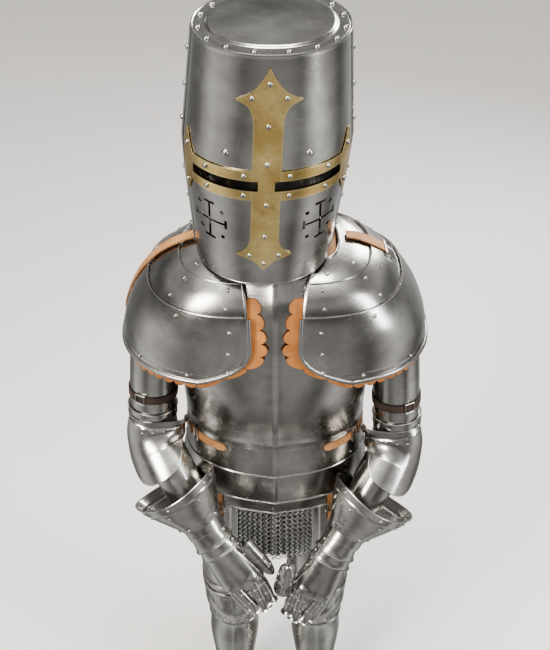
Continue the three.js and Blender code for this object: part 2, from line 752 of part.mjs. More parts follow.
function buildArm(side) {
  const arm = armTube(POSES[side]);
  const shape = (geometry) => (side === "l" ? geometry : mirrored(geometry));
  const put = (name, options) => add(`${name}_${side}`, shape(plate(arm, options)), steel);
  const ring = { turns: ringOf(ARM_COLUMNS, 1), ring: true };
  const part = (low, high) => ({ turns: steps(low, high, ARM_COLUMNS) });
  put("rerebrace", { ...ring, places: [0.12, 0.45, 0.76, 0.84, 0.9] });
  const share = evenly(0, 1, 6);
  put("couter", { ...part(-4, 9), places: share, lift: couterLift, outline: couterOutline });
  put("vambrace", { ...ring, places: [1.1, 1.17, 1.25, 1.5, 1.7, 1.87] });
  put("gauntlet_cuff", { ...ring, places: [1.44, 1.58, 1.74, 1.87, 1.96], lift: cuffLift });
  put("wrist_lame_upper", { ...part(2, 10), places: [1.9, 1.96, 2.05, 2.08], lift: -0.1 });
  put("wrist_lame_lower", { ...part(2, 10), places: [2.05, 2.08, 2.17, 2.2], lift: -LAP });
  put("hand_plate", { ...part(2, 10), places: [2.17, 2.2, 2.4, 2.58, 2.64], lift: -2 * LAP });
  const fingers = { turns: evenly(FINGERS.first, FINGERS.last, 16), places: [2.58, 2.64, 2.72, 2.86, 3] };
  put("finger_plates", { ...fingers, lift: fingerLift });
  add(`thumb_plate_${side}`, shape(thumbPlate(arm, POSES[side].thumb)), steel);
}

function poleynLift(turn, z) {
  const middle = Math.exp(-(((z - KNEE) / 34) ** 2));
  const base = lerp(LAP, 2 * LAP, clamp((z - 470) / 90, 0, 1)) + 0.1;
  return base + 8 * middle * Math.sqrt(Math.max(0, Math.sin(Math.PI * clamp(turn, 0, 1))));
}

function sabaton() {
  const places = [0, 0.35, 0.7, 1, 1.2, 1.6, 1.88, 2];
  const tube = plate(footTube(), { turns: ringOf(ARM_COLUMNS, 1), places, ring: true });
  const floor = new THREE.BoxGeometry(400, 600, 200);
  floor.deleteAttribute("normal");
  floor.deleteAttribute("uv");
  floor.translate(100, 0, SOLE + GAP - 100);
  return toGeometry(toSolid(tube).subtract(toSolid(mergeVertices(floor))));
}

function sole() {
  const outline = new THREE.Shape();
  outline.moveTo(-46, 8);
  outline.absellipse(0, 8, 46, 46, Math.PI, 0, true);
  outline.bezierCurveTo(46, -60, 64, -110, 60, -150);
  outline.bezierCurveTo(54, -190, 34, -214, 16, -218);
  outline.bezierCurveTo(-10, -212, -32, -180, -38, -150);
  outline.bezierCurveTo(-42, -110, -46, -50, -46, 8);
  const geometry = new THREE.ExtrudeGeometry(outline, { depth: SOLE, bevelEnabled: false, curveSegments: 6 });
  geometry.deleteAttribute("normal");
  geometry.deleteAttribute("uv");
  geometry.translate(LEG[0].side, LEG[0].axis, 0);
  return mergeVertices(geometry, 1e-3);
}

function buildLegs() {
  const ring = { turns: ringOf(LEG_COLUMNS, 2), ring: true };
  const part = (low, high) => ({ turns: steps(low, high, LEG_COLUMNS / 2) });
  const cup = [436, 462, 484, KNEE, 530, 566, 580];
  addPair("cuisse", () => plate(leg, { ...ring, places: [560, 566, 580, 606, 750, 905] }), steel);
  addPair("knee_lame", () => plate(leg, { ...part(-1, 8), places: [566, 580, 606], lift: LAP }), steel);
  addPair("poleyn", () => plate(leg, { ...part(-1, 8), places: cup, lift: poleynLift }), steel);
  addPair("greave", () => plate(leg, { ...ring, places: [94, 150, 250, 340, 436, 462] }), steel);
  addPair("sabaton", sabaton, steel);
  addPair("sole", sole, darkLeather);
}

// One end of the chin strap, laid over the shoulder
function chinStrap(places, lift) {
  const turns = [9.15, 9.85].map((one) => one / DOME_COLUMNS);
  const middle = 9.5 / DOME_COLUMNS;
  const outline = (turn, level) => [lerp(middle, turn, 1 + 1.4 * Math.max(0, level - 0.5)), level];
  return plate(dome, { turns, places, lift, wall: LEATHER, outline });
}

buildHelm();
buildCuirass();
addPair("tasset", tasset, steel);
addPair("waist_strap", waistStrap, leather);
addPair("shoulder_strap", shoulderStrap, leather);
buildShoulders();
buildArm("r");
buildArm("l");
buildLegs();
const tongue = chinStrap([0.12, 0.25, 0.42, 0.6, 0.7, 0.8, 0.88, 0.95], 2 * GAP + LEATHER);
add("helm_strap_tongue", mirrored(tongue), leather);
add("helm_strap_buckle", chinStrap([0.7, 0.77, 0.8, 0.88, 0.95], GAP + 0.2 + LEATHER - LAP), leather);

const box = new THREE.Box3().setFromObject(suit);
suit.position.set(-(box.min.x + box.max.x) / 2, -(box.min.y + box.max.y) / 2, -box.min.z);

export default suit;
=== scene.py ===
"""Looks of the suit of plate armour: plates, rims, rivets, rings, straps and finishes on the fixed frame."""
import math

import bmesh
import bpy
import numpy as np
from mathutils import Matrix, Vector


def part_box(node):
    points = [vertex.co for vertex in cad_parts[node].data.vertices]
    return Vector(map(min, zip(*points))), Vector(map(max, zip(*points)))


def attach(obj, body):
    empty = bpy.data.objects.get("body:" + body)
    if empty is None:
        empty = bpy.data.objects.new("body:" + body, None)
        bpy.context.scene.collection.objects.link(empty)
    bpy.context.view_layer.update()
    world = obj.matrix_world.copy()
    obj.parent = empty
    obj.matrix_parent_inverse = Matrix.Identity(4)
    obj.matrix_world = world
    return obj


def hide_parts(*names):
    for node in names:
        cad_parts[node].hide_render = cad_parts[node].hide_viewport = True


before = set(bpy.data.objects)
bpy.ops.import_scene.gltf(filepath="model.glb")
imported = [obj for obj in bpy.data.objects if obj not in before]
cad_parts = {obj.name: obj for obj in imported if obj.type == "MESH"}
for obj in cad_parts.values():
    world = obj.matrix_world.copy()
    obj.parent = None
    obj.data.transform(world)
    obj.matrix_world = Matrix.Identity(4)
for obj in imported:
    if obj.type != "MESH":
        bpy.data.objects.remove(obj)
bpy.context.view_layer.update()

# Sheet thicknesses, laps and levels, in millimetres with the suit facing -Y, as all tables below
STEEL = 1.8
BRASS = 1.2
LEATHER = 2.0
GAP = 0.6
LAP = STEEL + GAP
SEAM = 0.0002
HELM_TOP = 1880.6
HELM_BASE = 1513.7
HELM_SEAM = 1692.0
SIGHT_LOW = 1684.0
SIGHT_HIGH = 1700.0
SIGHT_OUTER = 108.0
CROSS_HALF = 21.0
CROSS_NECK = 12.0
WAIST = 1128.0
FAULD_HEM = 962.0
KNEE = 505.0
SOLE_TOP = 8.0
WAIST_STRAP = 1115.0
BREATH_X = 82.0
BREATH_Z = 1616.0
TORSO_POWER = 2.3
HELM_POWER = 2.15
PAULDRON_POWER = 2.4

# Height, half width, front depth, back depth
TORSO = np.array([
    (800, 198, 152, 158), (880, 198, 149, 154), (962, 193, 144, 148), (1062, 179, 136, 134),
    (WAIST, 171, 131, 122), (1165, 172, 141, 124), (1230, 174, 158, 131), (1300, 175, 166, 139),
    (1370, 171, 157, 141), (1430, 162, 143, 133), (1470, 147, 127, 117), (1500, 122, 104, 95)], float)
# Height, half width, front depth, back depth, lean
HELM = np.array([
    (HELM_BASE, 113.5, 139, 119, -19), (1572, 118, 139.5, 126, -17), (1657, 126.6, 140, 134, -14),
    (1715, 130, 141, 138, -11.5), (HELM_TOP, 114, 124, 124, -5)], float)
# Level, height, inner side, half width, front depth, back depth
DOME = np.array([
    (-0.14, 1305, 43, 231, 173, 158), (0, 1330, 43, 228, 172, 158), (0.25, 1375, 43, 221, 169, 158),
    (0.48, 1425, 43, 198, 160, 152), (0.68, 1474, 46, 154, 138, 133), (0.85, 1505, 56, 92, 101, 102),
    (1, 1514.2, 80, 28, 60, 62)], float)
# Stage along the arm, radius ahead, radius across
ARM = np.array([
    (0, 48, 42), (0.5, 48, 44), (0.85, 46, 43), (1, 44, 42), (1.15, 43, 41), (1.5, 41, 39),
    (1.9, 34, 36), (2, 32, 37), (2.2, 30, 43), (2.5, 28, 49), (2.75, 25, 47), (3, 20, 38)], float)
# Shoulder, elbow, wrist and finger tips of the wearer's left and right arm, both given on the left
POSES = {
    "l": ((210.6, -8, 1400), (238, -60, 1080), (122, -200, 934), (42, -270, 790)),
    "r": ((210.6, -8, 1400), (236, -60, 1110), (124, -200, 962), (22, -266, 822)),
}
# Stage on the hand, tip, distance off the hand, radius
THUMBS = {"l": (2.66, (26, -262, 956), -1.3, 17.5), "r": (2.28, (2, -242, 899), 0.4, 14)}
# Stage on the cuff, distance off the arm
CUFF = np.array([(1.42, 52), (1.58, 38), (1.74, 19), (1.87, 3.8), (1.96, 2.2)], float)
CUFF_MOUTH, CUFF_END = 1.44, 1.96
CUFF_LENGTH = CUFF_END - CUFF_MOUTH
# Height, side, axis, half width, front depth, back depth
LEG = np.array([
    (94, 106, 4, 45, 47, 47), (150, 106, 4, 43, 43, 46), (230, 104, 6, 51, 48, 57),
    (330, 102, 6, 60, 54, 70),
    (400, 100, 2, 59, 56, 66), (460, 98, -6, 59, 58, 58), (KNEE, 98, -8, 61, 58, 56),
    (600, 98, -8, 67, 68, 63), (700, 98, -6, 76, 78, 74), (800, 99, -2, 84, 86, 84),
    (900, 99, 0, 85, 87, 86)], float)
# Stage along the foot, radius across, radius upwards
FOOT = np.array([
    (0, 45, 47), (0.35, 45, 46), (1, 47, 40), (1.3, 50, 34), (1.7, 47, 27), (1.9, 33, 20), (2, 6, 6)], float)
# Turn from the side, top edge in front, top edge behind
NECKLINE = np.array([
    (0, 1338, 1346), (0.1, 1372, 1384), (0.17, 1440, 1445), (0.24, 1486, 1488), (0.33, 1499, 1494),
    (0.42, 1498, 1490), (0.5, 1500, 1488)], float)


def smooth(table, index):
    """A cubic curve through one column, with the slope of its neighbours at each row."""
    keys, values = table[:, 0], table[:, index]
    last = len(keys) - 1
    after = np.minimum(np.arange(last + 1) + 1, last)
    before = np.maximum(np.arange(last + 1) - 1, 0)
    slope = (values[after] - values[before]) / (keys[after] - keys[before])

    def at(x):
        i = np.clip(np.searchsorted(keys, x) - 1, 0, last - 1)
        span = keys[i + 1] - keys[i]
        t = np.clip((x - keys[i]) / span, 0, 1)
        return (values[i] * (2 * t**3 - 3 * t**2 + 1) + slope[i] * span * (t**3 - 2 * t**2 + t)
                + values[i + 1] * (3 * t**2 - 2 * t**3) + slope[i + 1] * span * (t**3 - t**2))
    return at


def straight(table, index):
    """Straight lines through one column."""
    return lambda x: np.interp(x, table[:, 0], table[:, index])


def powered(value, power):
    """A sine or cosine raised to two over the power, sign kept: the coordinate of a superellipse."""
    return np.sign(value) * np.abs(value) ** (2 / power)


def stack(x, y, z):
    """Three coordinates of any matching shapes as one array of points."""
    return np.stack(np.broadcast_arrays(x, y, z), -1).astype(float)


def round_body(table, power, pick, keel):
    """Superellipse sections at each height: x is half width times cosine, y a depth times sine.

    Turn 0 to 1 runs over the front, 1 to 2 over the back. The keel is a ridge that fades from the middle.
    """
    half, front, back = pick(table, 1), pick(table, 2), pick(table, 3)
    lean = pick(table, 4) if table.shape[1] > 4 else lambda z: 0 * z

    def at(turn, z):
        angle = np.pi * turn
        sine = np.sin(angle)
        x = -half(z) * powered(np.cos(angle), power)
        depth = np.where(sine > 0, front(z), back(z))
        ridge = np.where(sine > 0, keel * np.exp(-np.abs(x) / 22), 0)
        return stack(x + lean(z), -depth * powered(sine, power) - ridge, z)
    return at


torso = round_body(TORSO, TORSO_POWER, smooth, 6)
helm = round_body(HELM, HELM_POWER, straight, 0)


def dome(turn, level):
    """Shoulder dome: half a superellipse at each level, turn 0 in front, 0.5 outside, 1 behind.

    Level 0 is the hem and level 1 the neck.
    """
    angle = np.pi * turn
    cosine = np.cos(angle)
    depth = np.where(cosine > 0, smooth(DOME, 4)(level), smooth(DOME, 5)(level))
    x = smooth(DOME, 2)(level) + smooth(DOME, 3)(level) * powered(np.sin(angle), PAULDRON_POWER)
    return stack(x, -depth * powered(cosine, PAULDRON_POWER), smooth(DOME, 1)(level))


def leg(turn, z):
    """Leg tube: an ellipse at each height, turn 0 the inner side, 0.5 the front, 1.5 the back."""
    angle = np.pi * turn
    sine = np.sin(angle)
    depth = np.where(sine > 0, smooth(LEG, 4)(z), smooth(LEG, 5)(z))
    return stack(smooth(LEG, 1)(z) - smooth(LEG, 3)(z) * np.cos(angle), smooth(LEG, 2)(z) - depth * sine, z)


def unit(rows):
    """Each vector divided by its length."""
    return rows / np.maximum(np.linalg.norm(rows, axis=-1, keepdims=True), 1e-12)


def bent_path(corners, bends):
    """Straight stretches joined by arcs; a stage counts the corners."""
    corners = [np.array(c, float) for c in corners]
    pieces, marks, length, start = [], [0.0], 0.0, corners[0]
    for i, radius in enumerate(bends):
        corner = corners[i + 1]
        before = unit(corner - start)
        after = unit(corners[i + 2] - corner)
        bend = math.acos(np.clip(before @ after, -1, 1))
        cut = radius * math.tan(bend / 2)
        edge = corner - before * cut
        run = np.linalg.norm(edge - start)
        pieces.append((length, start, before, None, 0))
        length += run
        pieces.append((length, edge, before, unit(after - before * (before @ after)), radius))
        marks.append(length + radius * bend / 2)
        length += radius * bend
        start = corner + after * cut
    pieces.append((length, start, unit(corners[-1] - start), None, 0))
    marks.append(length + np.linalg.norm(corners[-1] - start))

    def at(stage):
        part = np.clip(np.floor(stage).astype(int), 0, len(marks) - 2)
        marked = np.array(marks)
        along = marked[part] + (marked[part + 1] - marked[part]) * (stage - part)
        point = np.zeros(along.shape + (3,))
        heading = np.zeros(along.shape + (3,))
        for index, (begin, base, ahead, aside, radius) in enumerate(pieces):
            end = pieces[index + 1][0] if index + 1 < len(pieces) else 1e9
            inside = (along >= (begin if index else -1e9)) & (along < end)
            gone = (along - begin)[..., None]
            if radius:
                swing = gone / radius
                here = base + ahead * radius * np.sin(swing) + aside * radius * (1 - np.cos(swing))
                way = ahead * np.cos(swing) + aside * np.sin(swing)
            else:
                here = base + ahead * gone
                way = ahead + 0 * gone
            point[inside] = here[inside]
            heading[inside] = way[inside]
        return point, heading
    return at


def path_tube(path, guide, deep, wide):
    """A tube round a path: the deep radius times cosine ahead plus the wide radius times sine across.

    Ahead is the guide direction squared up to the path, and turn 0 looks along it.
    """
    guide = np.array(guide, float)

    def at(turn, stage):
        turn, stage = np.broadcast_arrays(np.asarray(turn, float), np.asarray(stage, float))
        point, heading = path(stage)
        ahead = unit(guide - heading * (heading @ guide)[..., None])
        across = np.cross(heading, ahead)
        angle = 2 * np.pi * turn
        return (point + ahead * (deep(stage) * np.cos(angle))[..., None]
                + across * (wide(stage) * np.sin(angle))[..., None])
    return at


def arm_tube(side):
    """The tube round one arm's path from shoulder to finger tips, turn 0 behind, 0.5 in front."""
    return path_tube(bent_path(POSES[side], (100, 120)), (0, 1, 0), smooth(ARM, 1), smooth(ARM, 2))


ankle_x, ankle_y = LEG[0, 1], LEG[0, 2]
foot_line = bent_path(((ankle_x, ankle_y, 93.4), (ankle_x, ankle_y, 45), (ankle_x + 12, -205, 24)), (52,))
foot = path_tube(foot_line, (1, 0, 0), smooth(FOOT, 1), smooth(FOOT, 2))


def normal(surface, turn, place):
    """Outward normal from central differences."""
    step = 1e-3
    around = surface(turn + step, place) - surface(turn - step, place)
    along = surface(turn, place + step) - surface(turn, place - step)
    return unit(np.cross(around, along))


def raised(surface, turn, place, lift):
    """A point of a surface moved out along its normal."""
    turn, place = np.broadcast_arrays(np.asarray(turn, float), np.asarray(place, float))
    out = normal(surface, turn, place)
    return surface(turn, place) + out * np.broadcast_to(lift, turn.shape)[..., None]


def helm_turn(x, z):
    """Turn of the helm at a distance from its middle."""
    angle = np.arccos(np.minimum(np.abs(x) / straight(HELM, 1)(z), 1) ** (HELM_POWER / 2)) / np.pi
    return np.where(x < 0, angle, 1 - angle)


# The tables' middle in the frame, worked out from the helm's lid and its lean to one side
low_top, high_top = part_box("helm_top")
SHIFT = np.array([(low_top.x + high_top.x) * 500 - HELM[-1, 4], (low_top.y + high_top.y) * 500, 0])


# Every piece is built from nets: dicts of points v, face rows f, corner places uv and an edge measure e


def grid_faces(rows, cols, ring):
    """Quads of a grid of rows by cols points, row by row, closed round where ring is set."""
    across = cols if ring else cols - 1
    row, col = np.meshgrid(np.arange(rows - 1), np.arange(across), indexing="ij")
    a = row * cols + col
    b = row * cols + (col + 1) % cols
    return np.stack([a, b, b + cols, a + cols], -1).reshape(-1, 4), row.ravel(), col.ravel()


def arc_lengths(points, axis, ring=False):
    """Distance walked along one axis of a grid, in metres; a ring gets one more column."""
    if ring:
        points = np.concatenate([points, points[:, :1]], 1)
    stride = np.linalg.norm(np.diff(points, axis=axis), axis=-1)
    walked = np.cumsum(stride, axis=axis)
    start = np.zeros_like(np.take(walked, [0], axis=axis))
    return np.concatenate([start, walked], axis=axis) / 1000


def shell(surface, turns, places, lift=0.0, wall=STEEL, ring=False, outline=None, hole=None, worn=3.0):
    """A sheet on a surface: its outer side, its inner side a wall lower, and a rim along every border."""
    turn, place = np.meshgrid(np.asarray(turns, float), np.asarray(places, float))
    if outline:
        turn, place = outline(turn, place)
        turn, place = np.broadcast_arrays(turn, place)
    rise = lift(turn, place) if callable(lift) else lift
    outer = raised(surface, turn, place, rise)
    inner = raised(surface, turn, place, rise - wall)
    rows, cols = turn.shape
    faces, row, col = grid_faces(rows, cols, ring)
    if hole is not None:
        kept = ~hole(turn.ravel()[faces].mean(1), place.ravel()[faces].mean(1))
        faces, row, col = faces[kept], row[kept], col[kept]
    u = arc_lengths(outer, 1, ring)
    v = arc_lengths(outer, 0)
    if ring:
        v = np.concatenate([v, v[:, :1]], 1)
    corner_u = np.stack([u[row, col], u[row, col + 1], u[row + 1, col + 1], u[row + 1, col]], -1)
    corner_v = np.stack([v[row, col], v[row, col + 1], v[row + 1, col + 1], v[row + 1, col]], -1)
    corner = np.stack([corner_u, corner_v], -1)
    count = rows * cols
    begin = faces.ravel()
    end = np.roll(faces, -1, axis=1).ravel()
    border = ~np.isin(end * count + begin, begin * count + end)
    start, stop = begin[border], end[border]
    walls = np.stack([stop, start, start + count, stop + count], -1)
    flat = corner.reshape(-1, 2)[border]
    away = np.minimum(v[:, :cols], v[-1:, :cols] - v[:, :cols])
    if not ring:
        away = np.minimum(away, np.minimum(u, u[:, -1:] - u))
    # Edge measure, near 1 at the borders: the finishes use it for edge wear and for a painted edge highlight
    edge = np.exp(-away * 1000 / worn).ravel()
    return {
        "v": np.concatenate([outer.reshape(-1, 3), inner.reshape(-1, 3)]),
        "f": [faces, faces[:, ::-1] + count, walls],
        "uv": [corner.reshape(-1, 2), corner[:, ::-1].reshape(-1, 2), np.repeat(flat, 4, axis=0)],
        "e": np.concatenate([edge, edge]),
    }


def sweep(points, radius, sides=8, closed=False):
    """A round bar carried along a line of points, its frame turned as little as possible."""
    points = np.asarray(points, float)
    if closed:
        ahead = unit(np.roll(points, -1, axis=0) - np.roll(points, 1, axis=0))
    else:
        ahead = unit(np.gradient(points, axis=0))
    side = np.zeros_like(points)
    side[0] = unit(np.cross(ahead[0], (0.3, 0.2, 0.93)))
    for i in range(1, len(points)):
        side[i] = unit(side[i - 1] - ahead[i] * (side[i - 1] @ ahead[i]))
    over = np.cross(ahead, side)
    angle = np.linspace(0, 2 * np.pi, sides, endpoint=False)
    radius = np.broadcast_to(radius, len(points))[:, None, None]
    circle = (side[:, None] * np.cos(angle)[None, :, None]
              + over[:, None] * np.sin(angle)[None, :, None])
    ring = points[:, None] + circle * radius
    count = len(points)
    col, row = np.meshgrid(np.arange(sides), np.arange(count if closed else count - 1))
    nxt = (row + 1) % count
    a = row * sides + col
    b = row * sides + (col + 1) % sides
    faces = np.stack([a, b, nxt * sides + (col + 1) % sides, nxt * sides + col], -1).reshape(-1, 4)
    verts = ring.reshape(-1, 3)
    along = arc_lengths(points[:, None], 0)[:, 0]
    walk = np.append(along, along[-1])
    cu = np.stack([col, col + 1, col + 1, col], -1).reshape(-1, 4) / sides * 0.02
    cv = np.stack([walk[row], walk[row], walk[row + 1], walk[row + 1]], -1).reshape(-1, 4)
    out = {"v": verts, "f": [faces], "uv": [np.stack([cu, cv], -1).reshape(-1, 2)],
           "e": np.full(len(verts), 0.5)}
    if not closed:
        last = (count - 1) * sides
        caps = [np.arange(sides)[::-1], last + np.arange(sides)]
        for cap in caps:
            fan = np.stack([np.full(sides - 2, cap[0]), cap[1:-1], cap[2:]], -1)
            out["f"].append(fan)
            out["uv"].append(np.zeros((len(fan) * 3, 2)))
    return out


def studs(points, outs, radius, height, sides=10):
    """Domed heads: rings of a profile's radius and height about each outward direction, closed by a cap."""
    points, outs = np.atleast_2d(points), np.atleast_2d(outs)
    profile = np.array([(1, -0.35), (1, 0.12), (0.9, 0.5), (0.66, 0.82), (0.34, 0.97)])
    helper = np.where(np.abs(outs[:, 2:]) > 0.8, (1.0, 0, 0), (0, 0, 1.0))
    side = unit(np.cross(outs, helper))
    over = np.cross(outs, side)
    angle = np.linspace(0, 2 * np.pi, sides, endpoint=False)
    circle = side[:, None] * np.cos(angle)[:, None] + over[:, None] * np.sin(angle)[:, None]
    rings = [points[:, None] + circle * radius * r + outs[:, None] * height * h for r, h in profile]
    verts = np.stack(rings, 1)
    top = points + outs * height
    each = len(profile) * sides
    base, _, _ = grid_faces(len(profile), sides, True)
    offset = (np.arange(len(points)) * (each + 1))[:, None, None]
    quads = (base[None] + offset).reshape(-1, 4)
    last = (len(profile) - 1) * sides
    col = np.arange(sides)
    fan = np.stack([last + col, last + (col + 1) % sides, np.full(sides, each)], -1)
    tris = (fan[None] + offset).reshape(-1, 3)
    whole = np.concatenate([verts.reshape(len(points), -1, 3), top[:, None]], 1).reshape(-1, 3)
    flat = [np.zeros((len(quads) * 4, 2)), np.zeros((len(tris) * 3, 2))]
    return {"v": whole, "f": [quads, tris], "uv": flat, "e": np.full(len(whole), 0.3)}


def rivets(surface, spots, lift, radius=3.4, height=2.6):
    """Domed rivets at (turn, place) spots of a surface."""
    turn, place = np.array(spots, float).T
    rise = lift(turn, place) if callable(lift) else lift
    return studs(raised(surface, turn, place, rise), normal(surface, turn, place), radius, height)


def rim(surface, turn, place, lift, radius, closed=False, sides=8):
    """A rolled edge along a line of a surface."""
    rise = lift(turn, place) if callable(lift) else lift
    return sweep(raised(surface, turn, place, rise), radius, sides, closed)


def turned_about(net, verts):
    """The net's faces with their other side out, on the given points."""
    return {"v": verts, "f": [f[:, ::-1] for f in net["f"]],
            "uv": [uv.reshape(len(f), -1, 2)[:, ::-1].reshape(-1, 2) for f, uv in zip(net["f"], net["uv"])],
            "e": net["e"]}


def flipped(net):
    """The same net on the wearer's other side."""
    return turned_about(net, net["v"] * (-1, 1, 1))


def make(name, nets, slot, finish, stands_for=(), weld=False):
    """One object from its nets, riding on the frame, with its finish and the nodes that it stands for."""
    nets = nets if isinstance(nets, list) else [nets]
    verts = (np.concatenate([n["v"] for n in nets]) + SHIFT) / 1000
    offsets = np.cumsum([0] + [len(n["v"]) for n in nets])
    rows = [f + offset for n, offset in zip(nets, offsets) for f in n["f"]]
    loops = np.concatenate([f.ravel() for f in rows])
    sizes = np.concatenate([np.full(len(f), f.shape[1]) for f in rows])
    starts = np.concatenate([[0], np.cumsum(sizes)[:-1]])
    mesh = bpy.data.meshes.new(name)
    mesh.vertices.add(len(verts))
    mesh.vertices.foreach_set("co", verts.ravel())
    mesh.loops.add(len(loops))
    mesh.loops.foreach_set("vertex_index", loops.astype(np.int32))
    mesh.polygons.add(len(sizes))
    mesh.polygons.foreach_set("loop_start", starts.astype(np.int32))
    mesh.update(calc_edges=True)
    layer = mesh.uv_layers.new(name="flat")
    layer.data.foreach_set("uv", np.concatenate([uv for n in nets for uv in n["uv"]]).ravel())
    edge = mesh.attributes.new("edge", "FLOAT", "POINT")
    edge.data.foreach_set("value", np.concatenate([n["e"] for n in nets]))
    mesh.validate()
    if weld:
        work = bmesh.new()
        work.from_mesh(mesh)
        bmesh.ops.remove_doubles(work, verts=work.verts, dist=1e-6)
        work.to_mesh(mesh)
        work.free()
    mesh.polygons.foreach_set("use_smooth", np.ones(len(mesh.polygons), bool))
    mesh.set_sharp_from_angle(angle=math.radians(42))
    piece = bpy.data.objects.new(name, mesh)
    bpy.context.scene.collection.objects.link(piece)
    mesh.materials.append(finish)
    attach(piece, "root")
    if stands_for:
        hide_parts(*([stands_for] if isinstance(stands_for, str) else stands_for))
    return piece


def make_pair(name, nets, slot, finish, replaced=True, **options):
    """A piece for the wearer's left and its mirror image for the right."""
    nets = nets if isinstance(nets, list) else [nets]
    for side in "lr":
        own = nets if side == "l" else [flipped(n) for n in nets]
        stands_for = f"{name.removeprefix('worn_')}_{side}" if replaced else ()
        make(f"{name}_{side}", own, slot, finish, stands_for, **options)


class Value:
    """A socket of one material or world; sums written on it become Math nodes."""

    def __init__(self, finish, socket):
        self.finish = finish
        self.socket = socket

    def math(self, operation, other, swap=False):
        pair = (other, self) if swap else (self, other)
        return self.finish.node("ShaderNodeMath", {"operation": operation}, dict(enumerate(pair)))

    def __add__(self, other):
        return self.math("ADD", other)

    def __radd__(self, other):
        return self.math("ADD", other, True)

    def __sub__(self, other):
        return self.math("SUBTRACT", other)

    def __mul__(self, other):
        return self.math("MULTIPLY", other)

    def __truediv__(self, other):
        return self.math("DIVIDE", other)

    def above(self, low, high):
        """0 below low, 1 above high, smooth between."""
        settings = {"interpolation_type": "SMOOTHSTEP"}
        return self.finish.node("ShaderNodeMapRange", settings, {0: self, 1: low, 2: high})


class Finish:
    """A material or a world written as expressions, ending in its one shader."""

    def __init__(self, holder):
        holder.use_nodes = True
        self.material = holder
        self.tree = holder.node_tree
        self.shader = next(n for n in self.tree.nodes if n.type in ("BSDF_PRINCIPLED", "BACKGROUND"))

    def set(self, target, value):
        if isinstance(value, Value):
            self.tree.links.new(value.socket, target)
        else:
            target.default_value = value

    def node(self, kind, settings, values, out=0):
        made = self.tree.nodes.new(kind)
        for key, setting in settings.items():
            setattr(made, key, setting)
        for key, value in values.items():
            self.set(made.inputs[key], value)
        return Value(self, made.outputs[out])

    def object_place(self, scale=(1, 1, 1)):
        place = self.node("ShaderNodeTexCoord", {}, {}, "Object")
        return self.node("ShaderNodeMapping", {}, {"Vector": place, "Scale": scale})

    def flat_place(self, scale=(1, 1, 1)):
        place = self.node("ShaderNodeUVMap", {"uv_map": "flat"}, {})
        return self.node("ShaderNodeMapping", {}, {"Vector": place, "Scale": scale})

    # Edge measure for the finishes: on steel and brass it paints the edges lighter, partly as wear and partly
    # as a painted highlight; on leather it darkens them as burnishing
    def worn_edge(self):
        return self.node("ShaderNodeAttribute", {"attribute_name": "edge"}, {}, "Fac")

    def noise(self, place, scale, detail=3.0, roughness=0.5):
        return self.node("ShaderNodeTexNoise", {},
                         {"Vector": place, "Scale": scale, "Detail": detail, "Roughness": roughness})

    def cells(self, place, scale):
        settings = {"feature": "DISTANCE_TO_EDGE"}
        return self.node("ShaderNodeTexVoronoi", settings, {"Vector": place, "Scale": scale})

    def blend(self, factor, first, second):
        return self.node("ShaderNodeMix", {"data_type": "RGBA"}, {0: factor, 6: first, 7: second}, 2)

    def ramp(self, factor, stops):
        """Greys between stops, each a position and a value."""
        made = self.node("ShaderNodeValToRGB", {}, {0: factor})
        elements = made.socket.node.color_ramp.elements
        elements[0].position, elements[1].position = stops[0][0], stops[-1][0]
        elements[0].color = rgb(*[stops[0][1]] * 3)
        elements[1].color = rgb(*[stops[-1][1]] * 3)
        for position, grey in stops[1:-1]:
            elements.new(position).color = rgb(*[grey] * 3)
        return made

    def bump(self, height, strength, distance):
        return self.node("ShaderNodeBump", {}, {"Height": height, "Strength": strength, "Distance": distance})

    def done(self, color, roughness, bump=None, **numbers):
        self.set(self.shader.inputs["Base Color"], color)
        self.set(self.shader.inputs["Roughness"], roughness)
        if bump is not None:
            self.set(self.shader.inputs["Normal"], bump)
        for key, value in numbers.items():
            self.set(self.shader.inputs[key.replace("_", " ")], value)
        return self.material


def rgb(red, green, blue):
    return (red, green, blue, 1.0)


def polished_steel(name, light, dark, rough, brush=0.5):
    """Plate steel: cloudy patina, fine lines along the sheet, darker stains, and edges made lighter partly by
    wear and partly by a painted highlight for the glint of rounded edges.
    """
    f = Finish(bpy.data.materials.new(name))
    cloud = f.noise(f.object_place(), 7.0, 4.0, 0.62)
    stain = f.noise(f.object_place((1, 1, 1.4)), 23.0, 5.0, 0.7)
    grain = f.noise(f.flat_place((5, 420, 1)), 1.0, 3.0, 0.7)
    scratch = f.noise(f.flat_place((160, 9, 1)), 1.0, 2.0, 0.6).above(0.66, 0.74)
    edge = f.worn_edge()
    tone = f.blend(cloud.above(0.3, 0.72), dark, light)
    stained = stain.above(0.56, 0.8)
    tone = f.blend(stained * 0.35, tone, rgb(0.19, 0.16, 0.125))
    # Painted highlight and wear: the steel is lighter towards each border, for the glint of rounded edges as
    # well as rubbed metal
    tone = f.blend(edge.above(0.35, 0.95) * 0.5, tone, rgb(0.7, 0.69, 0.66))
    roughness = rough + (cloud - 0.5) * 0.22 + (grain - 0.5) * 0.16 + stained * 0.12 + scratch * 0.05
    height = grain * brush + scratch * -0.25 + cloud * 0.8
    return f.done(tone, roughness, f.bump(height, 0.22, 0.0006), Metallic=1.0)


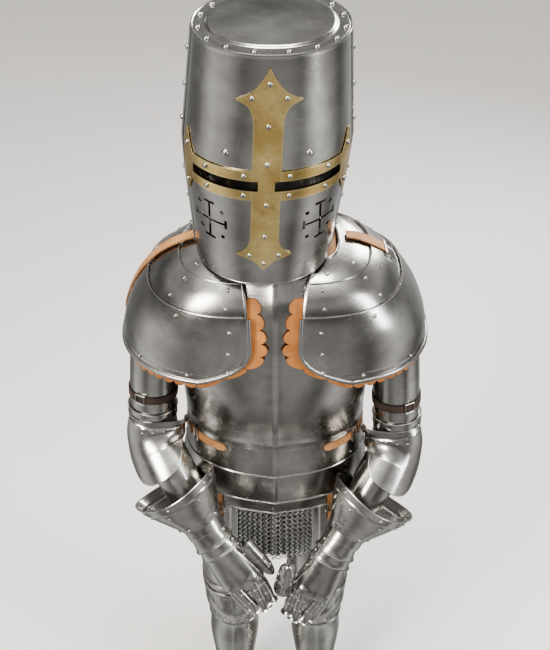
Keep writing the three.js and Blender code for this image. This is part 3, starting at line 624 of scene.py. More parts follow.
def hammered_brass(name):
    """Sheet brass: warm clouds, brown tarnish, fine lines along the sheet."""
    f = Finish(bpy.data.materials.new(name))
    cloud = f.noise(f.object_place(), 14.0, 4.0, 0.6)
    spots = f.noise(f.object_place(), 90.0, 3.0, 0.6)
    grain = f.noise(f.flat_place((9, 500, 1)), 1.0, 3.0, 0.65)
    tone = f.blend(cloud.above(0.35, 0.7), rgb(0.62, 0.44, 0.17), rgb(0.9, 0.71, 0.35))
    tone = f.blend(spots.above(0.58, 0.75) * 0.4, tone, rgb(0.25, 0.17, 0.07))
    # Painted highlight and wear: the brass is lighter towards each border, for the glint of rounded edges as
    # well as rubbed metal
    tone = f.blend(f.worn_edge().above(0.3, 0.95) * 0.5, tone, rgb(0.86, 0.72, 0.4))
    roughness = 0.3 + (cloud - 0.5) * 0.2 + (grain - 0.5) * 0.18
    return f.done(tone, roughness, f.bump(grain * 0.6 + cloud, 0.25, 0.0006), Metallic=1.0)


def strap_leather(name, light, dark, rough):
    """Cut leather: pebbled grain, soft clouds, darker burnished edges."""
    f = Finish(bpy.data.materials.new(name))
    cloud = f.noise(f.object_place(), 16.0, 4.0, 0.6)
    pores = f.cells(f.object_place(), 900.0)
    fleck = f.noise(f.object_place(), 240.0, 3.0, 0.6)
    tone = f.blend(cloud.above(0.3, 0.7), dark, light)
    tone = f.blend(fleck.above(0.55, 0.8) * 0.3, tone, dark)
    burnished = rgb(dark[0] * 0.5, dark[1] * 0.45, dark[2] * 0.4)
    tone = f.blend(f.worn_edge().above(0.3, 0.9) * 0.6, tone, burnished)
    roughness = rough + (cloud - 0.5) * 0.2
    height = pores.above(0.0, 0.25) + fleck * 0.6
    return f.done(tone, roughness, f.bump(height, 0.35, 0.0005))


PLATE = polished_steel("steel_plate", rgb(0.56, 0.545, 0.51), rgb(0.32, 0.305, 0.285), 0.24)
BRIGHT = polished_steel("steel_rims", rgb(0.5, 0.49, 0.465), rgb(0.36, 0.35, 0.33), 0.26, 0.2)
RIVET = polished_steel("steel_rivets", rgb(0.5, 0.49, 0.465), rgb(0.34, 0.33, 0.31), 0.27, 0.1)
# Painted light: the rings' steel is much lighter than the plates' to offset the shade they hang in under the
# fauld and among each other
RINGS = polished_steel("steel_rings", rgb(0.8, 0.79, 0.76), rgb(0.52, 0.51, 0.49), 0.3, 0.1)
GOLDEN = hammered_brass("brass_sheet")
TAN = strap_leather("tan_leather", rgb(0.5, 0.205, 0.055), rgb(0.3, 0.11, 0.028), 0.62)
PALE = strap_leather("pale_strap_leather", rgb(0.62, 0.33, 0.14), rgb(0.42, 0.2, 0.08), 0.55)
# Dark leather for soles, straps and the mail's lining; the same finish paints the shade inside the strap
# holes
DARK = strap_leather("dark_leather_and_hole_shade", rgb(0.075, 0.045, 0.03), rgb(0.03, 0.02, 0.015), 0.6)


def span(low, high, count):
    """Evenly spaced values, both ends among them."""
    return np.linspace(low, high, count)


def helm_place(x, z):
    """Turn and height on the helm at a distance from its middle."""
    return helm_turn(x, z), z + 0 * x


def build_helm():
    """Great helm: lid with a raised disc, two bands of plate in front and behind, sights, breaths and cross.

    The lid shrinks the helm's top section towards its middle. Its height is a profile of the share out.
    """
    middle = np.array([HELM[-1, 4], 0, HELM_TOP])
    step = np.array([
        (0, 6.5), (0.4, 6.2), (0.79, 4.6), (0.81, 4.2), (0.835, 0.6), (0.86, 0.0), (0.985, -0.2),
        (1.01, -1.6)])

    def lid(turn, share):
        point = middle + (helm(turn, HELM_TOP + 0 * turn) - middle) * (1 - share)[..., None]
        return stack(point[..., 0], point[..., 1], HELM_TOP + np.interp(1 - share, step[:, 0], step[:, 1]))

    outward = np.array([1.008, 1.0, 0.985, 0.95, 0.9, 0.862, 0.848, 0.835, 0.822, 0.81, 0.79, 0.7, 0.55, 0.4,
                        0.2, 0.05, 0.0005])
    top = shell(lid, span(0, 2, 145)[:-1], 1 - outward, 0, STEEL, True)
    make("worn_helm_top", top, "steel", PLATE, "helm_top", weld=True)

    sight_end = float(helm_turn(-SIGHT_OUTER, SIGHT_LOW))
    sight_bar = float(helm_turn(-CROSS_NECK, SIGHT_LOW))
    half_turns = np.concatenate([span(SEAM, sight_end, 34)[:-1], span(sight_end, sight_bar, 52)[:-1],
                                 span(sight_bar, 0.5, 6)])
    turns = np.concatenate([half_turns, 1 - half_turns[-2::-1]])

    def in_sight(turn, z):
        away = np.minimum(turn, 1 - turn)
        return (z > SIGHT_LOW) & (z < SIGHT_HIGH) & (away > sight_end) & (away < sight_bar)

    crown_places = np.concatenate([[HELM_SEAM + 0.15, 1696, SIGHT_HIGH], span(1706, HELM_TOP - 2.2, 22)])
    crown = shell(helm, turns, crown_places, 0, STEEL, hole=in_sight)
    make("worn_helm_upper_front", crown, "steel", PLATE, "helm_upper_front")
    face_places = np.concatenate([span(HELM_BASE, SIGHT_LOW, 34), [1688, HELM_SEAM - 0.15]])
    face = make("worn_helm_lower_front", shell(helm, turns, face_places, 0, STEEL, hole=in_sight),
                "steel", PLATE, "helm_lower_front")
    cut_breaths(face)
    rear = span(1 + SEAM, 2 - SEAM, 97)
    upper = shell(helm, rear, span(HELM_SEAM + 0.15, HELM_TOP - 2.2, 14))
    make("worn_helm_upper_back", upper, "steel", PLATE, "helm_upper_back")
    lower = shell(helm, rear, span(HELM_BASE, HELM_SEAM - 0.15, 12))
    make("worn_helm_lower_back", lower, "steel", PLATE, "helm_lower_back")

    ring = span(0, 2, 181)[:-1]
    hem = [rim(helm, ring, np.full(180, HELM_BASE + 1.2), -0.9, 1.5, closed=True),
           rim(helm, ring, np.full(180, HELM_TOP - 0.6), 0.2, 1.9, closed=True)]
    lap_places = span(1520, 1874, 60)
    laps = [shell(helm, span(seam - 0.035, seam + 0.045, 12), lap_places, STEEL + 0.9) for seam in (0.0, 1.0)]
    make("helm_side_laps", laps, "steel", PLATE)
    make("helm_hems", hem, "steel", BRIGHT)
    side_spots = (1545, 1600, 1652, 1735, 1790, 1845)
    heads = [rivets(helm, [(turn, z) for z in side_spots], STEEL + 1, 4.2, 3.6) for turn in (0.012, 0.988)]
    heads.append(rivets(helm, [(0.352, 1737), (0.648, 1737)], 0, 6.2, 3.4))
    rear_spots = [(t, z) for t in (1.1, 1.27, 1.42, 1.58, 1.73, 1.9) for z in (1676, 1707)]
    heads.append(rivets(helm, rear_spots, 0, 3.4, 3))
    on_lid = 16
    flange = lid((np.arange(on_lid) + 0.5) * 2 / on_lid, np.full(on_lid, 0.07))
    heads.append(studs(flange, np.tile((0, 0, 1.0), (on_lid, 1)), 4.5, 3.8))
    make("helm_rivets", heads, "steel", RIVET)
    build_cross()


def cut_breaths(face):
    """Each breath is a small cross with barred ends and four round holes between its arms.

    Prisms run through the plate at each opening, joined in one mesh, and a Boolean takes them out of it.
    """
    bars = [(-2, 0, 3.4, 62), (0, 0, 46, 3.4), (-2, 31, 16, 4), (-2, -31, 16, 4), (-23, 0, 4, 14),
            (23, 0, 4, 14)]
    dots = [(18, 20), (18, -23), (-17, 24), (-15, -20)]
    dot_r = 3.1
    pieces = []
    for side in (-1, 1):
        for dx, dz, wide, tall in bars:
            x, z = side * (BREATH_X - dx), BREATH_Z + dz
            pieces.append(([x - wide / 2, x + wide / 2, x + wide / 2, x - wide / 2],
                           [z - tall / 2, z - tall / 2, z + tall / 2, z + tall / 2]))
        for dx, dz in dots:
            angle = np.linspace(0, 2 * np.pi, 14, endpoint=False)
            x, z = side * (BREATH_X - dx), BREATH_Z + dz
            pieces.append((x + dot_r * np.cos(angle), z + dot_r * np.sin(angle)))
    verts, faces = [], []
    lean = np.interp(BREATH_Z, HELM[:, 0], HELM[:, 4])
    for xs, zs in pieces:
        count, base = len(xs), len(verts)
        for y in (-60, -190):
            verts += [((x + lean, y, z) + SHIFT) / 1000 for x, z in zip(xs, zs)]
        faces.append([base + i for i in range(count)])
        faces.append([base + count + i for i in range(count)][::-1])
        for i in range(count):
            after = (i + 1) % count
            faces.append([base + after, base + i, base + count + i, base + count + after])
    mesh = bpy.data.meshes.new("breath_punch")
    mesh.from_pydata(verts, [], faces)
    work = bmesh.new()
    work.from_mesh(mesh)
    bmesh.ops.recalc_face_normals(work, faces=work.faces)
    work.to_mesh(mesh)
    work.free()
    punch = bpy.data.objects.new("breath_punch", mesh)
    bpy.context.scene.collection.objects.link(punch)
    cut = face.modifiers.new("breaths", "BOOLEAN")
    cut.object = punch
    cut.solver = "EXACT"
    cut.use_self = True
    graph = bpy.context.evaluated_depsgraph_get()
    done = bpy.data.meshes.new_from_object(face.evaluated_get(graph))
    face.modifiers.clear()
    face.data = done
    done.name = face.name
    bpy.data.objects.remove(punch)


# Half width of the cross's upright at each height
CROSS = np.array([
    (1544, 0.3), (1547, 2.6), (1551, 6), (1556, 10.5), (1560, 15), (1563, 20), (1565, 26), (1567, 33),
    (1569, 39), (1571, 41.5), (1573, 40), (1575, 36.5), (1578, 32.5), (1582, 28), (1588, 24.2), (1596, 22),
    (1606, 21.2), (1640, CROSS_HALF), (1760, CROSS_HALF), (1784, 21.2), (1793, 22), (1800, 23.4), (1806, 26),
    (1810, 29.5), (1813.5, 34.5), (1816, 40), (1818, 45), (1819.5, 46), (1821, 43), (1823, 37.5),
    (1825.5, 32), (1829, 26.5), (1833, 21.5), (1838, 16.8), (1844, 12), (1850, 7.8), (1856, 4.4),
    (1861, 1.9), (1864, 0.3)], float)


def build_cross():
    """Brass cross: an upright with pointed ends, a frame round each sight and a pointed piece at each side.

    The upright is a share from -1 to 1 times the half width that the table gives at each height.
    """
    lift = 2 * GAP + BRASS
    heights = np.unique(np.concatenate([CROSS[:, 0], span(1600, 1780, 46), span(1544, 1600, 48),
                                        span(1780, 1864, 72), [SIGHT_LOW, SIGHT_HIGH]]))

    def bar(share, z):
        return helm_place(np.interp(z, CROSS[:, 0], CROSS[:, 1]) * share, z)

    def no_sight(turn, z):
        return (z > SIGHT_LOW) & (z < SIGHT_HIGH) & (np.abs(turn - 0.5) > helm_turn(CROSS_NECK, z) - 0.5)

    neck_share = CROSS_NECK / CROSS_HALF
    shares = np.array([-1, -0.9, -0.74, -neck_share, -0.3, -0.1, 0.1, 0.3, neck_share, 0.74, 0.9, 1])
    nets = [shell(helm, shares, heights, lift, BRASS, outline=bar, hole=no_sight)]
    for side in (-1, 1):
        reach = span(CROSS_HALF, SIGHT_OUTER, 40) if side > 0 else span(-SIGHT_OUTER, -CROSS_HALF, 40)
        for low, high in ((1668, SIGHT_LOW), (SIGHT_HIGH, 1716)):
            nets.append(shell(helm, reach, span(low, high, 5), lift, BRASS, outline=helm_place))

        def end_piece(share, z, side=side):
            point = np.clip(np.maximum((1672 - z) / 32, (z - 1714) / 32), 0, 1)
            inner = SIGHT_OUTER + 9 * point**0.7
            outer = 122.5 - 4.5 * point**1.6
            x = inner + (outer - inner) * share
            return helm_place(side * x, z)

        ends = span(0, 1, 5) if side > 0 else span(1, 0, 5)
        nets.append(shell(helm, ends, span(1640, 1746, 54), lift, BRASS, outline=end_piece))
    make("worn_helm_cross", nets, "brass", GOLDEN, "helm_cross")
    spots = [(0, 1842), (-24, 1822), (24, 1822), (0, 1783), (0, 1727), (1, 1661), (0, 1606), (0, 1557),
             (-22, 1571), (22, 1571), (-88, 1709), (-33, 1708), (33, 1708), (88, 1709), (-86, 1676),
             (-33, 1676), (33, 1676), (86, 1676), (-117, 1724), (117, 1724), (-117, 1660), (117, 1660)]
    x, z = np.array(spots, float).T
    heads = rivets(helm, np.stack([helm_turn(x, z), z], -1), lift, 4.1, 3.5)
    make("helm_cross_rivets", heads, "steel", RIVET)


def neckline(name, share_turn):
    """Height of the cuirass's top edge, a curve through the table, the same on both sides of the middle."""
    column = {"front": 1, "back": 2}[name]
    around = share_turn % 1
    near = np.minimum(around, 1 - around)
    return smooth(NECKLINE, column)(near)


def build_cuirass():
    """Breastplate and backplate with rolled edges, fauld, culet and mail.

    Plates are heights from the waist to the neckline, or between two levels, on the torso's sections.
    Creases and beads are bells in height or turn, added to the lift.
    """
    front, rear = span(SEAM, 1 - SEAM, 129), span(1 + SEAM, 2 - SEAM, 113)

    def outline(name):
        return lambda turn, share: (turn, WAIST + (neckline(name, turn) - WAIST) * share)

    def chest_lift(turn, z):
        crest = np.exp(-np.abs(turn - 0.5) / 0.016) * np.clip((z - 1140) / 60, 0, 1) * 1.6
        return crest + 1.6 * np.exp(-((z - 1131) / 5.0) ** 2)

    def back_lift(turn, z):
        fade = np.clip((z - 1150) / 60, 0, 1) * np.clip((1470 - z) / 60, 0, 1)
        return -4.5 * np.exp(-((turn - 1.5) / 0.02) ** 2) * fade

    chest = shell(torso, front, span(0, 1, 64), chest_lift, STEEL, outline=outline("front"))
    make("worn_breastplate", chest, "steel", PLATE, "breastplate")
    back = shell(torso, rear, span(0, 1, 56), back_lift, STEEL, outline=outline("back"))
    make("worn_backplate", back, "steel", PLATE, "backplate")
    edges = []
    for name, turns in (("front", front[3:-3]), ("back", rear[3:-3])):
        edges.append(rim(torso, turns, neckline(name, turns), 0.6, 3.4))
    make("cuirass_rolled_edges", edges, "steel", BRIGHT)

    def point_drop(turn):
        return 4 * np.exp(-((turn - 0.5) / 0.12) ** 2)

    hems = []
    inner = front[2:-2]
    for order, low, high in ((1, 1062, 1136), (2, 992, 1070), (3, FAULD_HEM, 1000)):
        def sweep_down(turn, z, low=low, high=high):
            return turn, z - point_drop(turn) * (1 - (z - low) / (high - low))
        plate = shell(torso, front, span(low, high, 14), -LAP * order + 0.4, STEEL, outline=sweep_down)
        make(f"worn_fauld_lame_{order}", plate, "steel", PLATE, f"fauld_lame_{order}")
        hems.append(rim(torso, inner, low - point_drop(inner), -LAP * order + 0.3, 1.7, sides=6))
    hems.append(rim(torso, rear[2:-2], np.full(len(rear) - 4, FAULD_HEM + 1.0), -LAP + 0.3, 1.7, sides=6))
    make("fauld_hems", hems, "steel", BRIGHT)

    def culet_lift(turn, z):
        return -LAP + 1.8 * np.exp(-((z - 1062) / 3.0) ** 2) + 1.8 * np.exp(-((z - 1008) / 3.0) ** 2)

    culet = shell(torso, rear, span(FAULD_HEM, 1136, 60), culet_lift, STEEL)
    make("worn_culet", culet, "steel", PLATE, "culet")
    heads = [rivets(torso, [(t, z) for t in (0.04, 0.2, 0.8, 0.96)], -LAP * order + 0.4, 3, 2.4)
             for z, order in ((1072, 1), (1002, 2))]
    heads.append(rivets(torso, [(t, z) for t in (1.05, 1.95) for z in (975, 1035, 1090)], -LAP, 3, 2.4))
    make("fauld_rivets", heads, "steel", RIVET)
    build_mail()
    build_tassets()


def build_mail():
    """Rings in rows that lean to and fro and cross each other, hung from under the fauld.

    A ring is a circle in the plane of its leaning across direction and down. Its wire is a second, small
    circle in the plane of the ring's own radius and its axis.
    """
    rows, per_row, row_pitch, hem = 24, 126, 6.6, 820.0
    ring_r, wire, sides, thick = 5.7, 1.2, 10, 3
    angle = np.linspace(0, 2 * np.pi, sides, endpoint=False)
    small = np.linspace(0, 2 * np.pi, thick, endpoint=False)
    row, col = np.meshgrid(np.arange(rows), np.arange(per_row), indexing="ij")
    turn = 2 * (col + 0.5 * (row % 2)) / per_row
    z = hem + row * row_pitch
    spot = raised(torso, turn, z, -LAP * 4 - 1.0).reshape(-1, 3)
    out = normal(torso, turn, z).reshape(-1, 3)
    side = unit(np.cross((0, 0, 1.0), out))
    down = np.cross(out, side)
    lean = np.where(row.ravel() % 2 == 0, 0.5, -0.5)[:, None]
    across = side * np.cos(lean) + out * np.sin(lean)
    axis = np.cross(across, down)
    ring = (across[:, None] * np.cos(angle)[:, None] + down[:, None] * np.sin(angle)[:, None])
    centre = spot[:, None] + ring * ring_r
    tube = (ring[:, :, None] * np.cos(small)[:, None] + axis[:, None, None] * np.sin(small)[:, None]) * wire
    verts = centre[:, :, None] + tube
    here, after = np.arange(sides)[:, None] * thick, (np.arange(sides)[:, None] + 1) % sides * thick
    spoke, next_spoke = np.arange(thick), (np.arange(thick) + 1) % thick
    one = np.stack([here + spoke, here + next_spoke, after + next_spoke, after + spoke], -1)
    one = one.reshape(-1, 4)[:, ::-1]
    faces = (one[None] + (np.arange(len(spot)) * sides * thick)[:, None, None]).reshape(-1, 4)
    verts = verts.reshape(-1, 3)
    net = {"v": verts, "f": [faces], "uv": [np.zeros((len(faces) * 4, 2))], "e": np.zeros(len(verts))}
    make("mail_rings", net, "mail", RINGS, "mail_skirt")
    lining = shell(torso, span(0, 2, 121)[:-1], span(822, 956, 12), -LAP * 4 - 6, 1.0, True)
    make("mail_lining", lining, "sole_leather", DARK)


def build_tassets():
    """Two plates low on the fauld over the mail, each on two straps with a buckle.

    The lower edge rises with a power of the distance from the plate's middle. The crease is a bell in the
    middle, the border a bead beside each end.
    """
    ends = (9.8 / 16, 13.8 / 16)
    width = ends[1] - ends[0]

    def outline(turn, t):
        share = (turn - ends[0]) / width
        low = 802 + 26 * np.abs(2 * share - 1) ** 2.4
        return turn, low + (FAULD_HEM - 5 - low) * t

    def lift(turn, z):
        share = (turn - ends[0]) / width
        crease = 5 * np.exp(-np.abs(share - 0.5) / 0.08) * np.clip((950 - z) / 60, 0, 1)
        border = 1.6 * np.exp(-((np.minimum(share, 1 - share) - 0.07) / 0.02) ** 2)
        return -LAP * 3 + crease + border

    turns = span(ends[0], ends[1], 60)
    plate = shell(torso, turns, span(0, 1, 44), lift, STEEL, outline=outline)
    make_pair("worn_tasset", plate, "steel", PLATE)
    low_edge = outline(turns, 0 * turns)[1]
    side_z = span(830, FAULD_HEM - 8, 24)
    border = [rim(torso, turns, low_edge + 0.5, lift, 2.4),
              rim(torso, np.full(24, ends[0] + 0.0006), side_z, lift, 2.2),
              rim(torso, np.full(24, ends[1] - 0.0006), side_z, lift, 2.2)]
    make_pair("tasset_rims", border, "steel", BRIGHT, replaced=False)
    spots = [(ends[0] + width * share, 940) for share in (0.2, 0.5, 0.8)]
    make_pair("tasset_rivets", rivets(torso, spots, lift, 3.2, 2.6), "steel", RIVET, replaced=False)
    straps, buckles = [], []
    for share in (0.26, 0.74):
        turn = ends[0] + width * share
        strap = shell(torso, span(turn - 0.011, turn + 0.011, 5), span(918, 992, 20), -LAP * 2 + 1.6, LEATHER)
        straps.append(strap)
        corners = turn + 0.015 * np.array([-1, 1, 1, -1]), np.array([946, 946, 964, 964.0])
        buckles.append(sweep(raised(torso, *corners, -LAP * 2 + 3.4), 1.5, 6, closed=True))
        buckles.append(sweep(raised(torso, np.full(6, turn), span(943, 966, 6), -LAP * 2 + 4.2), 1.1, 6))
    make_pair("tasset_straps", straps, "tan_leather", PALE, replaced=False)
    make_pair("tasset_buckles", buckles, "steel", RIVET, replaced=False)


# Pauldron's leather edging: the level of its top, the share of the rim that stands upright at each end
LINING_TOP, LINING_UPRIGHT = 0.72, 0.18
# How far it runs under the plate and beyond its rim
LINING_UNDER, LINING_REACH = 22, 19
# Length round a pauldron for a whole turn, and up it for a whole level
RIM_LENGTH, RIM_RISE = 600, 184


def corner_cut(level):
    """How far the plate's ends draw in towards the hem, in turns: a power of the distance below a level."""
    return 0.1 * np.clip(1 - level / 0.38, 0, 1) ** 2.6


def pauldron_rim(share, out):
    """A place on the rim of the main plate, front top to back top, moved out by a distance."""
    mirror = share > 0.5
    near = np.where(mirror, 1 - share, share)
    out_turn, out_level = out / RIM_LENGTH, out / RIM_RISE
    level = LINING_TOP * (1 - near / LINING_UPRIGHT)
    low = np.clip(1 - level / 0.3, 0, 1)
    up_turn = corner_cut(level) - out_turn * (1 - low)
    up_level = level - out_level * low
    along = (near - LINING_UPRIGHT) / (1 - 2 * LINING_UPRIGHT)
    cut = corner_cut(0.0)
    turn = np.where(near < LINING_UPRIGHT, up_turn, cut + (1 - 2 * cut) * along)
    level = np.where(near < LINING_UPRIGHT, up_level, -out_level)
    return np.where(mirror, 1 - turn, turn), level


def build_shoulders():
    """Main pauldron plate with a rolled edge, two lames above it and the scalloped leather under it.

    Each plate is a stretch of levels of the dome. The main one has a sunk line, a bell in the distance from
    its rim.
    """
    def outline(share, level):
        cut = corner_cut(level)
        return cut + (1 - 2 * cut) * share, level

    def main_lift(turn, level):
        share = (turn - corner_cut(level)) / (1 - 2 * corner_cut(level))
        near = np.minimum(np.minimum(share, 1 - share) * RIM_LENGTH, level * RIM_RISE)
        sunk = np.exp(-((near - 13) / 2.6) ** 2)
        return 0.4 - 1.0 * sunk

    turns = np.unique(np.concatenate([span(0, 0.03, 6), span(0.03, 0.97, 106), span(0.97, 1, 6)]))
    levels = np.concatenate([span(0, 0.12, 16)[:-1], span(0.12, 0.6, 34)])
    main = shell(dome, turns, levels, main_lift, STEEL, outline=outline)
    make_pair("worn_pauldron_main", main, "steel", PLATE)
    mid = shell(dome, turns, span(0.57, 0.8, 20), -LAP, STEEL, outline=outline)
    make_pair("worn_pauldron_lame_mid", mid, "steel", PLATE)
    upper = shell(dome, turns, span(0.77, 1, 18), -2 * LAP, STEEL, outline=outline)
    make_pair("worn_pauldron_lame_upper", upper, "steel", PLATE)

    turn, level = pauldron_rim(span(0.028, 0.972, 240), np.full(240, 0.5))
    kept = level < 0.6
    rims = [rim(dome, turn[kept], level[kept], 0.9, 3.8, sides=10)]
    for lift, low, high in ((-LAP, 0.6, 0.8), (-2 * LAP, 0.8, 0.985)):
        for end in (0.0, 1.0):
            run = span(low, high, 16)
            rims.append(rim(dome, np.full(16, end) + (0.5 - end) * 0.003, run, lift + 0.2, 2.4, sides=8))
    inner = turns[1:-1]
    for level, lift, radius in ((0.598, 0.9, 1.3), (0.798, -LAP + 0.9, 1.2), (0.998, -2 * LAP + 0.4, 2.0)):
        rims.append(rim(dome, inner, np.full(len(inner), level), lift, radius, sides=6))
    make_pair("pauldron_rims", rims, "steel", BRIGHT, replaced=False)

    spots = [(t, 0.06) for t in (0.13, 0.3, 0.5, 0.7, 0.87)]
    spots += [(t, level) for t in (0.035, 0.965) for level in (0.14, 0.33, 0.5)]
    spots += [(t, 0.555) for t in (0.2, 0.8)]
    mid_spots = [(t, level) for t in (0.05, 0.27, 0.73, 0.95) for level in (0.645, 0.76)]
    heads = [rivets(dome, spots, 0.3, 4.0, 3.4),
             rivets(dome, mid_spots, -LAP, 3.7, 3.1),
             rivets(dome, [(t, 0.86) for t in (0.08, 0.3, 0.7, 0.92)], -2 * LAP, 3.6, 3.0)]
    make_pair("pauldron_rivets", heads, "steel", RIVET, replaced=False)
    build_scallops()


def build_scallops():
    """Leather edging: its free edge is a row of round lobes, sewn along a line inside them.

    The lobes are a power of the sine's size, so that they meet in sharp notches.
    """
    lobes = 38
    steps = span(0, 1, lobes * 10 + 1)

    def outline(share, edge):
        lobe = np.abs(np.sin(np.pi * lobes * share)) ** 0.55
        reach = LINING_REACH * (0.6 + 0.4 * lobe)
        return pauldron_rim(1 - share, -LINING_UNDER + (reach + LINING_UNDER) * edge)

    def lift(turn, level):
        return -LAP - 1.3 - 2 * LAP * np.clip((level - 0.3) / 0.2, 0, 1)

    edges = [0, 0.3, 0.55, 0.7, 0.8, 0.88, 0.95, 1]
    band = shell(dome, steps, edges, lift, LEATHER, outline=outline, worn=2.2)
    make_pair("worn_pauldron_lining", band, "tan_leather", TAN)
    stitches = []
    for start in span(0.01, 0.985, 150):
        share = start + np.array([0, 0.0011, 0.0032, 0.0043])
        turn, level = pauldron_rim(share, np.full(4, 8.0))
        rise = lift(turn, level) + np.array([-0.2, 0.5, 0.5, -0.2])
        stitches.append(sweep(raised(dome, turn, level, rise), 0.55, 4))
    make_pair("pauldron_lining_stitches", stitches, "tan_leather", PALE, replaced=False)


# Stage of the upper edge of the lobe at the elbow, and the lobe's length in stages
LOBE_TOP, LOBE_TALL = 0.84, 0.56
# Turns between which the hand's plates lie, and the number of fingers that share them
HAND_FIRST, HAND_LAST, FINGERS = 2 / 12, 10 / 12, 4


def lobe_outline(across, down):
    """Lobe over the crook of the elbow: -1 to 1 across it, 0 to 1 down to its round lower edge."""
    swell = np.sin(np.pi * np.clip(down, 0, 1))
    turn = 0.52 + 0.035 * swell + across * (0.17 + 0.045 * swell)
    low = 1.02 + 0.38 * np.sqrt(np.clip(1 - np.abs(across) ** 2.6, 0, 1))
    return turn, LOBE_TOP + (low - LOBE_TOP) * down


def lobe_lift(turn, stage):
    """Distance off the arm: a power of the share down, a bell at the inner upper corner and a thin ridge."""
    down = np.clip((stage - LOBE_TOP) / LOBE_TALL, 0, 1)
    point = np.exp(-(((turn - 0.71) / 0.085) ** 2) - ((stage - LOBE_TOP) / 0.1) ** 2)
    ridge = 2.6 * np.exp(-np.abs(stage - 0.9 - 0.25 * (turn - 0.52)) / 0.012)
    return 2 * LAP + 0.4 + 26 * down**0.8 + 24 * point + ridge


def couter_lobe(arm):
    """The lobe's plate and the bar along its four edges."""
    across, down = span(-1, 1, 60), span(0, 1, 60)
    plate = shell(arm, across, down, lobe_lift, STEEL, outline=lobe_outline)
    border = np.concatenate([np.stack([np.full(30, -1.0), span(0, 1, 30)], -1)[:-1],
                             np.stack([span(-1, 1, 60), np.full(60, 1.0)], -1)[:-1],
                             np.stack([np.full(30, 1.0), span(1, 0, 30)], -1)[:-1],
                             np.stack([span(1, -1, 40), np.zeros(40)], -1)[:-1]])
    turn, stage = lobe_outline(border[:, 0], border[:, 1])
    return plate, rim(arm, turn, stage, lambda t, s: lobe_lift(t, s) - 0.8, 1.2, closed=True, sides=6)


